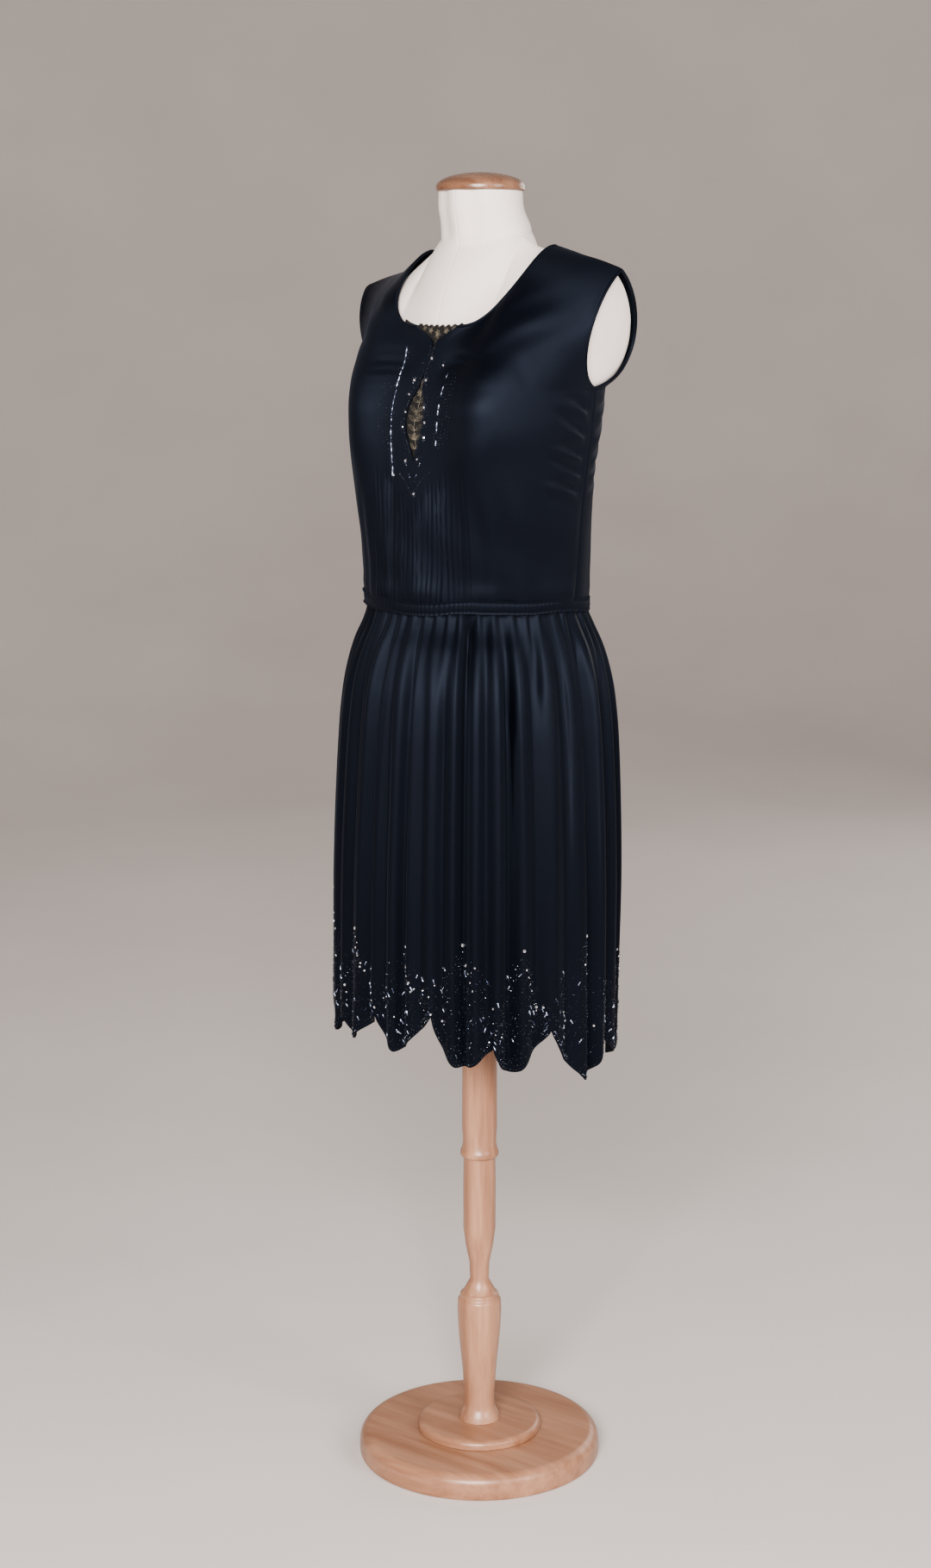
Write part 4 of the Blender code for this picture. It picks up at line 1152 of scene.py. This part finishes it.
def seed_shape():
    """A small round bead, flattened along its hole."""
    return ringed([(0.8 * -0.55, 0.60), (0.0, 1.0), (0.8 * 0.55, 0.60)], 5)


def bugle_shape():
    """A tube of glass along X, two units long."""
    return ringed([(-1.0, 0.82), (-0.93, 1.0), (0.93, 1.0), (1.0, 0.82)], 8)


def stone_shape():
    """A round cut stone: table, crown and girdle, as radius, height and twist."""
    verts = []
    for radius, height, twist in ((1.0, 0.0, 0.0), (1.0, 0.30, 0.5), (0.56, 0.62, 0.0)):
        for a in turns(10) + twist * pi / 10:
            verts.append((radius * cos(a), radius * sin(a), height))
    return np.array(verts), drum_faces(3, 10)


Bead = namedtuple("Bead", "place normal along scale")


def add_beads(name, shape, beads, finish, flat=False):
    """All beads of one kind as one mesh."""
    base, faces = shape
    normal = np.array([b.normal for b in beads])
    along = np.array([b.along for b in beads])
    along -= normal * np.sum(along * normal, axis=-1, keepdims=True)
    along = unit(along)
    across = np.cross(normal, along)
    scale = np.array([b.scale for b in beads])
    place = np.array([b.place for b in beads])
    local = base[None] * scale[:, None]
    verts = place[:, None]
    for k, axis in enumerate((along, across, normal)):
        verts = verts + local[..., k : k + 1] * axis[:, None]
    every = [[i + k * len(base) for i in face] for k in range(len(beads)) for face in faces]
    return add_mesh(name, verts.reshape(-1, 3), every, finish, 40, flat=flat)


BEAD_SIZE = {
    "seed": np.array([0.00080, 0.00090, 0.00090]),
    "bugle": np.array([0.0033, 0.00095, 0.00095]),
    "stone": np.array([0.0018, 0.0018, 0.0018]),
}
BEAD_LIFT = {"seed": 0.0006, "bugle": 0.0007, "stone": 0.0001}
UPWARD = (0.0, 0.001)


class Beading:
    """Collects beads that are placed by two coordinates on a surface."""

    def __init__(self, find, seed):
        self.find = find
        self.made = np.random.RandomState(seed)
        self.beads = {"seed": [], "bugle": [], "stone": []}

    def put(self, kind, a, b, towards, scale):
        here, there = self.find(a, b), self.find(a + towards[0], b + towards[1])
        if here is None or there is None or np.linalg.norm(there[0] - here[0]) > 0.02:
            return
        size = BEAD_SIZE[kind] * scale
        tilt = here[1] + self.made.uniform(-0.22, 0.22, 3) * (kind != "bugle")
        tilt /= np.linalg.norm(tilt)
        size = size * self.made.uniform(0.88, 1.08)
        self.beads[kind].append(Bead(here[0] + here[1] * BEAD_LIFT[kind], tilt, there[0] - here[0], size))

    def row(self, kind, path, step, scale=1.0, unit=1.0, skip=None, stray=0.0):
        """Beads along a line. Unit is the length of one step of the first coordinate in metres."""
        flat = resample(np.asarray(path, float) * np.array([unit, 1.0]), step)
        heading = np.gradient(flat, axis=0)
        for k, (place, way) in enumerate(zip(flat, heading)):
            if skip and skip(k):
                continue
            way = way / max(np.linalg.norm(way), 1e-9) * 0.0012
            place = place + self.made.uniform(-stray, stray, 2)
            self.put(kind, place[0] / unit, place[1], (way[0] / unit, way[1]), scale)


front_tree = surface_tree(front)


def find_on_front(x, z):
    return on_front(front_tree, x + float(slit_shift(x, z)), z, 0.0)


def slit_edge(z):
    return max(float(column(SLIT, "half_width", np.array([z]))[0]), 0.0) if z > SLIT[0].z else 0.0


LYRE = table(
    SlitPoint,
    (1.299, 0.0320), (1.326, 0.0340), (1.363, 0.0352), (1.390, 0.0356), (1.412, 0.0362),
    (1.429, 0.0372), (1.448, 0.0395),
)


# The point of beads below the slit, its inner line and the single stones, as x and z
POINT = ((0.0280, 1.304), (0.0205, 1.300), (0.0115, 1.292), (0.0010, 1.276))
INNER_POINT = ((0.0130, 1.324), (0.0080, 1.304), (0.0010, 1.285))
STONES = (
    (0.0035, 1.438), (0.0235, 1.430), (-0.0120, 1.412), (0.0060, 1.412), (-0.0145, 1.395), (0.0125, 1.380),
    (0.0165, 1.362), (-0.0170, 1.356), (0.0160, 1.344), (-0.0120, 1.316), (0.0060, 1.318), (-0.0305, 1.298),
    (0.0020, 1.277), (-0.0150, 1.374),
)


def bead_front():
    """A slender lyre of beads round the slit, with dotted rows outside it and a point below."""
    work = Beading(find_on_front, 9)
    for side in (-1, 1):
        edge = [(side * (slit_edge(z) + 0.0022), z) for z in spaced(1.322, 1.452, 60)]
        work.row("seed", edge, 0.0024)
        beside = [(side * (slit_edge(z) + 0.0066), z) for z in spaced(1.326, 1.440, 50)]
        work.row("seed", beside, 0.0042, 0.9, stray=0.0005)
        low, high = (1.300, 1.448) if side < 0 else (1.338, 1.418)
        lyre = [(side * column(LYRE, "half_width", z), z) for z in spaced(low, high, 60)]
        work.row("bugle", lyre, 0.0071, 1.0, skip=lambda k: side > 0 and k % 3 == 1, stray=0.0003)
        for aside in (-0.0036, 0.0036):
            work.row("seed", [(x + side * aside, z) for x, z in lyre], 0.0036, 0.85, stray=0.0004)
        for k, reach in enumerate((0.0445, 0.0500, 0.0555)):
            low, high = 1.332 + 0.006 * k, 1.424 - 0.004 * k
            dotted = [(side * (reach - 2.0 * (z - 1.385) ** 2), z) for z in spaced(low, high, 40)]
            work.row("seed", dotted, 0.0042, 1.0, stray=0.0005)
        work.row("seed", [(side * x, z) for x, z in POINT], 0.0031)
        work.row("seed", [(side * x, z) for x, z in INNER_POINT], 0.0034, 0.9)
        for x, z in ((0.0105, 1.312), (0.0050, 1.298)):
            work.put("bugle", side * x, z, (side * 0.0004, 0.001), 0.75)
    for k, (x, z) in enumerate(STONES):
        work.put("stone", x, z, UPWARD, (1.0, 0.75, 0.9)[k % 3])
        for turn in turns(8):
            c, s = cos(turn), sin(turn)
            work.put("seed", x + 0.0036 * c, z + 0.0036 * s, (-0.001 * s, 0.001 * c), 0.8)
    return work.beads


skirt_trees = (surface_tree(skirt_front), surface_tree(skirt_back))
SKIRT_RADIUS = 0.172
APEX_Z = 0.722
LAST_APEX_Z = 0.768
SCATTERED = 220


def find_on_skirt(turn, z):
    away = Vector((sin(turn), -cos(turn), 0.0))
    best = None
    for tree in skirt_trees:
        hit = tree.ray_cast(away * 0.6 + Vector((0.0, 0.0, z)), -away, 0.50)
        if hit[0] is not None and (best is None or hit[3] < best[3]):
            best = hit
    if best is None:
        return None
    normal = best[1] if best[1].dot(away) > 0 else -best[1]
    return np.array(best[0]), np.array(normal)


def hem_at(turn):
    return hem_z(np.array([turn]))[0]


def bead_petal(work, petal, following, made):
    """The work on one petal and the triangle of beads above it."""
    first, last = radians(petal.notch_turn), radians(following)
    middle, half = (first + last) / 2, (last - first) / 2
    edge_turns = spaced(first + 0.02, last - 0.02, 50)
    hem = hem_z(edge_turns)
    for lift, step, scale in ((0.0035, 0.0028, 1.0), (0.0085, 0.0034, 0.9)):
        work.row("seed", list(zip(edge_turns, hem + lift)), step, scale, SKIRT_RADIUS)
    apex = LAST_APEX_Z if petal is PETALS[-1] else APEX_Z + made.uniform(-0.010, 0.010)
    for drop in (0.0, 0.0075, 0.017):
        foot = petal.notch_z + 0.022 - drop
        chevron = [(middle - half * 0.96, foot), (middle, apex - drop), (middle + half * 0.96, foot)]
        work.row("seed", chevron, 0.0046, 0.95, SKIRT_RADIUS, skip=lambda k: k % 7 == 3, stray=0.0008)
    pitch = 0.0150 / SKIRT_RADIUS
    for slope in (-1, 1):
        for k in range(-5, 6):
            run = []
            for t in spaced(-0.055, 0.075, 44):
                turn = middle + k * pitch + slope * t * 0.62 / SKIRT_RADIUS
                z = petal.notch_z + t
                roof = apex - 0.022 - (apex - petal.notch_z - 0.018) * abs(turn - middle) / half
                floor = hem_at(turn) + 0.012 if abs(turn - middle) < half * 0.98 else 9.0
                if floor < z < roof:
                    run.append((turn, z))
            if len(run) > 4:
                work.row("seed", run, 0.0052, 0.85, SKIRT_RADIUS, stray=0.0012)
    roof = apex + 0.004
    for k in range(SCATTERED):
        share, rise = made.uniform(-0.98, 0.98), made.uniform(0.0, 1.0) ** 1.2
        turn = middle + share * half
        low = hem_at(turn) + 0.008
        high = petal.notch_z + 0.046 + (roof - petal.notch_z - 0.046) * (1 - abs(share)) ** 0.8
        z = low + (high - low) * rise
        slope = 0.45 * (1 if made.uniform() < 0.7 else -1) + made.uniform(-0.25, 0.25)
        if k % 11 == 1:
            work.put("bugle", turn, z, (slope * 0.001 / SKIRT_RADIUS, -0.001), made.uniform(0.75, 1.0))
        elif k % 36 == 0:
            work.put("stone", turn, z, UPWARD, made.uniform(0.55, 1.0))
        else:
            work.put("seed", turn, z, (made.uniform(-0.005, 0.005), 0.001), made.uniform(0.75, 1.15))
    work.put("stone", middle + made.uniform(-0.03, 0.03), apex + 0.006, UPWARD, 1.2)
    work.put("stone", last, petal.notch_z + 0.014, UPWARD, 0.9)
    for k in range(4):
        work.put("stone", middle + half * (0.12 + 0.08 * k), apex - 0.018 - 0.0095 * k, UPWARD, 0.8)


def bead_hem():
    work = Beading(find_on_skirt, 17)
    made = np.random.RandomState(4)
    following = [petal.notch_turn for petal in PETALS[1:]] + [PETALS[0].notch_turn + 360.0]
    for petal, end in zip(PETALS, following):
        bead_petal(work, petal, end, made)
    return work.beads


BEAD_KINDS = (("seed", seed_shape(), SEED), ("bugle", bugle_shape(), BUGLE), ("stone", stone_shape(), STONE))
for place, beads in (("bodice", bead_front()), ("hem", bead_hem())):
    for kind, shape, finish in BEAD_KINDS:
        piece = add_beads(f"beads_{place}_{kind}", shape, beads[kind], finish, flat=kind == "stone")
        dress_up(piece, "satin")


# ---- form ----


def seam_groove(across):
    return GROOVE_DEPTH * np.clip(1 - np.abs(across) / GROOVE_WIDTH, 0.0, 1.0)


def form_lift(up, is_front):
    return FORM_LIFT * (up**3 if is_front else ease_in(4 * up))


def form_yoke(lifted, is_front, across, up):
    return yoke(form_wall, form_lift(lifted, is_front), is_front, across, up)


def make_form():
    half = np.concatenate([[0.0, 0.0035, 0.0075], spaced(0.0, 1.0, 49)[1:]])
    across = mirrored(half)
    heights = np.unique(np.concatenate([spaced(FORM[0].z, FORM_EDGE_Z, 4), spaced(FORM_EDGE_Z, CHEST_Z, 46)]))
    up = spaced(0.0, 1.0, 30)
    verts, faces = [], []

    def add(grid, wrap=False):
        grid = np.asarray(grid)
        faces.extend(grid_faces(*grid.shape[:2], sum(len(v) for v in verts), wrap))
        verts.append(grid.reshape(-1, 3))

    def fan(ring):
        start = sum(len(v) for v in verts)
        verts.append(np.concatenate([ring, ring.mean(axis=0)[None]]))
        for k in range(len(ring)):
            faces.append([start + k, start + (k + 1) % len(ring), start + len(ring)])

    for is_front in (True, False):
        turn = turn_at(across, is_front)
        sink = seam_groove(across)[:, None] * np.array([0.0, 1.0 if is_front else -1.0, 0.0])
        add([form_wall(turn, np.full_like(turn, z)) + sink for z in heights])
        add([form_yoke(u, is_front, across, np.full_like(across, u)) + sink for u in up])
    for side in (-1.0, 1.0):
        edges = [np.array([form_yoke(u, is_front, side, u) for u in up]) for is_front in (True, False)]
        shares = spaced(0.0, 1.0, 22)
        bulge = ARM_PLATE_BULGE * np.sin(pi * shares) ** 0.7
        plate = np.array([edges[0] + (edges[1] - edges[0]) * share for share in shares])
        tall = np.sin(pi * spaced(0.0, 1.0, len(up))) ** 0.7
        plate[..., 0] += side * bulge[:, None] * tall[None, :]
        add(plate)
    ring_across = across[np.abs(across) <= NECK_SHARE + 1e-9]
    ones = np.ones_like(ring_across)
    sink = [seam_groove(ring_across)[:, None] * np.array([0.0, s, 0.0]) for s in (1.0, -1.0)]
    halves = [yoke(form_wall, FORM_LIFT, f, ring_across, ones) + s for f, s in zip((True, False), sink)]
    ring = np.concatenate([halves[0], halves[1][::-1][1:-1]])
    angle = np.arctan2(ring[:, 0], -(ring[:, 1] - NECK_ROOT_Y))
    groove = np.concatenate([seam_groove(ring_across), seam_groove(ring_across)[::-1][1:-1]])
    root = np.hypot(ring[:, 0], ring[:, 1] - NECK_ROOT_Y)
    rings = []
    for share in spaced(0.0, 1.0, 26):
        straight = NECK_FOOT_RADIUS + (NECK_RADIUS - NECK_FOOT_RADIUS) * share
        flare = (1 - ease_in(share / 0.55)) ** 1.2
        lean = NECK_ROOT_Y * (1 - ease_in(share / 0.75)) * 0.9 + 0.0012 * (1 - share)
        r = straight + (root - straight) * flare - groove * ease_in(share * 20)
        r = r - 0.0042 * (bump_at(angle, -0.42, 0.24) + bump_at(angle, 0.42, 0.24)) * ease_in(share * 4)
        height = ring[:, 2] + (NECK_TOP_Z - ring[:, 2]) * share
        rings.append(points(r * np.sin(angle), lean - r * np.cos(angle), height))
    rings[0] = ring
    add(rings, wrap=True)
    fan(rings[-1])
    ring = np.concatenate([turn_at(across, True)[:-1], turn_at(across, False)[::-1][:-1]])
    fan(form_wall(ring, np.full_like(ring, heights[0])))
    return add_mesh("form_body", np.concatenate(verts), faces, LINEN, 50, lambda co: True)


form = dress_up(make_form(), "linen", "form_torso")


# ---- cap and stand ----


def turned(name, rows, finish, sides=96, fine=4):
    """A solid turned about the stand's axis, with a smooth profile through the rows."""
    z, radius = np.array(rows).T
    run = np.concatenate([[0.0], np.cumsum(np.hypot(np.diff(z), np.diff(radius)))])
    at = np.unique(np.concatenate([spaced(a, b, fine + 1) for a, b in zip(run, run[1:])]))
    z, radius = smooth(at, run, z), smooth(at, run, radius)
    angle = turns(sides)
    grid = [points(r * np.cos(angle), r * np.sin(angle), h) for h, r in zip(z, radius)]
    verts = np.concatenate([np.array(grid).reshape(-1, 3), [[0, 0, z[0]], [0, 0, z[-1]]]])
    faces = list(grid_faces(len(grid), sides, wrap=True))
    last = len(grid) * sides
    for start, centre in ((0, last), (last - sides, last + 1)):
        faces += [[start + k, start + (k + 1) % sides, centre] for k in range(sides)]
    return add_mesh(name, verts, faces, finish, 38)


def rounded_disc(low, high, radius, foot, shoulder):
    """Rows of a disc with a small round at its foot and a larger one at its shoulder."""
    lower = [pi / 2 * step / 4 for step in range(5)]
    upper = [pi / 2 * step / 10 for step in range(11)]
    rows = [Turned(low + foot * (1 - cos(a)), radius - foot * (1 - sin(a))) for a in lower]
    return rows + [Turned(high - shoulder * (1 - sin(a)), radius - shoulder * (1 - cos(a))) for a in upper]


def cap_rows():
    low = NECK_TOP_Z + GAP
    foot = ((0.0, 0.002), (0.0012, 0.0003), (0.0030, 0.0), (0.005, 0.0))
    rows = [Turned(low + rise, CAP_RADIUS - narrower) for rise, narrower in foot]
    rows += [Turned(low + 0.005 + 0.0172 * sin(a), CAP_RADIUS * cos(a)) for a in spaced(0.12, 1.52, 14)]
    return rows


base_rows = rounded_disc(0.0, BASE_THICK, BASE_RADIUS, 0.002, 0.014)
boss_rows = rounded_disc(BASE_THICK + GAP, BASE_THICK + BOSS_THICK, BOSS_RADIUS, 0.001, 0.007)
for name, rows, finish, slot, node in (
    ("wood_cap", cap_rows(), CAP_WOOD, "cap_wood", "form_cap"),
    ("wood_base", base_rows, BEECH_FLAT, "beech", "stand_base"),
    ("wood_boss", boss_rows, BEECH_FLAT, "beech", "stand_boss"),
    ("wood_foot", FOOT, BEECH_UP, "beech", "stand_foot"),
    ("wood_sleeve", SLEEVE, BEECH_UP, "beech", "stand_sleeve"),
):
    dress_up(turned(name, rows, finish), slot, node)


# ---- floor, light and camera ----


def floor_finish():
    made = Finish("floor_pale", Specular_IOR_Level=0.15)
    made.colour(made.ramp(made.noise(1.6, 3.0), (0.66, 0.615, 0.59), (0.70, 0.655, 0.63)))
    made.rough(made.noise(5.0), 0.75, 0.9)
    return made.material


def make_floor():
    angle = turns(96)
    curve, edge = BACKDROP_CURVE, FLOOR_REACH
    rings = [(radius, 0.0) for radius in (0.5, 1.5, 3.0, edge)]
    rings += [(edge + curve * sin(a), curve - curve * cos(a)) for a in spaced(0.08, pi / 2, 20)]
    rings += [(edge + curve, BACKDROP_TOP_Z)]
    grid = np.array([points(r * np.cos(angle), r * np.sin(angle), z - FLOOR_DROP) for r, z in rings])
    faces = [*grid_faces(len(rings), 96, wrap=True), range(96)]
    made = add_mesh("floor", grid.reshape(-1, 3), faces, floor_finish())


def put_aimed(data, place, way):
    """Puts a light or camera at the place, looking along the way."""
    made = bpy.data.objects.new(data.name, data)
    made.location = place
    made.rotation_mode = "QUATERNION"
    made.rotation_quaternion = way.to_track_quat("-Z", "Y")
    bpy.context.scene.collection.objects.link(made)
    return made


def area_light(name, place, aim, size, power, colour):
    light = bpy.data.lights.new(name, "AREA")
    light.shape = "RECTANGLE"
    light.size, light.size_y = size
    light.energy = power
    light.color = colour
    put_aimed(light, place, Vector(aim) - Vector(place))


def make_world():
    world = bpy.data.worlds.new("soft_grey")
    world.use_nodes = True
    ground = world.node_tree.nodes["Background"]
    ground.inputs["Color"].default_value = (0.80, 0.745, 0.72, 1.0)
    ground.inputs["Strength"].default_value = 0.45
    bpy.context.scene.world = world


CAMERA_TURN = radians(38.0)
CAMERA_PITCH = radians(10.53)
CAMERA_AWAY = 3.219
CAMERA_Z = 1.5
CAMERA_LENS = 59.06
SENSOR_WIDTH = 36.0
# How far the stand's axis lies from the middle of the frame, and the lens, both in pixels
AXIS_ASIDE = 17
LENS_PIXELS = 2982


def make_camera():
    camera = bpy.data.cameras.new("camera")
    camera.lens = CAMERA_LENS
    camera.sensor_width = SENSOR_WIDTH
    yaw = CAMERA_TURN + atan(AXIS_ASIDE / LENS_PIXELS)
    place = (CAMERA_AWAY * sin(CAMERA_TURN), -CAMERA_AWAY * cos(CAMERA_TURN), CAMERA_Z)
    way = Vector((-sin(yaw), cos(yaw), -tan(CAMERA_PITCH)))
    bpy.context.scene.camera = put_aimed(camera, place, way)


make_floor()
make_world()
area_light("key", (2.1, -3.4, 2.2), (0.0, 0.0, 1.05), (2.0, 1.2), 335.0, (1.0, 0.965, 0.94))
area_light("fill", (4.1, -0.4, 2.2), (0.0, 0.0, 1.0), (1.5, 1.8), 80.0, (1.0, 0.97, 0.95))
area_light("back", (0.0, 4.2, 2.2), (0.0, 0.0, 1.0), (3.0, 2.0), 45.0, (1.0, 0.98, 0.96))
make_camera()
bpy.context.scene.view_settings.look = "AgX - Medium High Contrast"
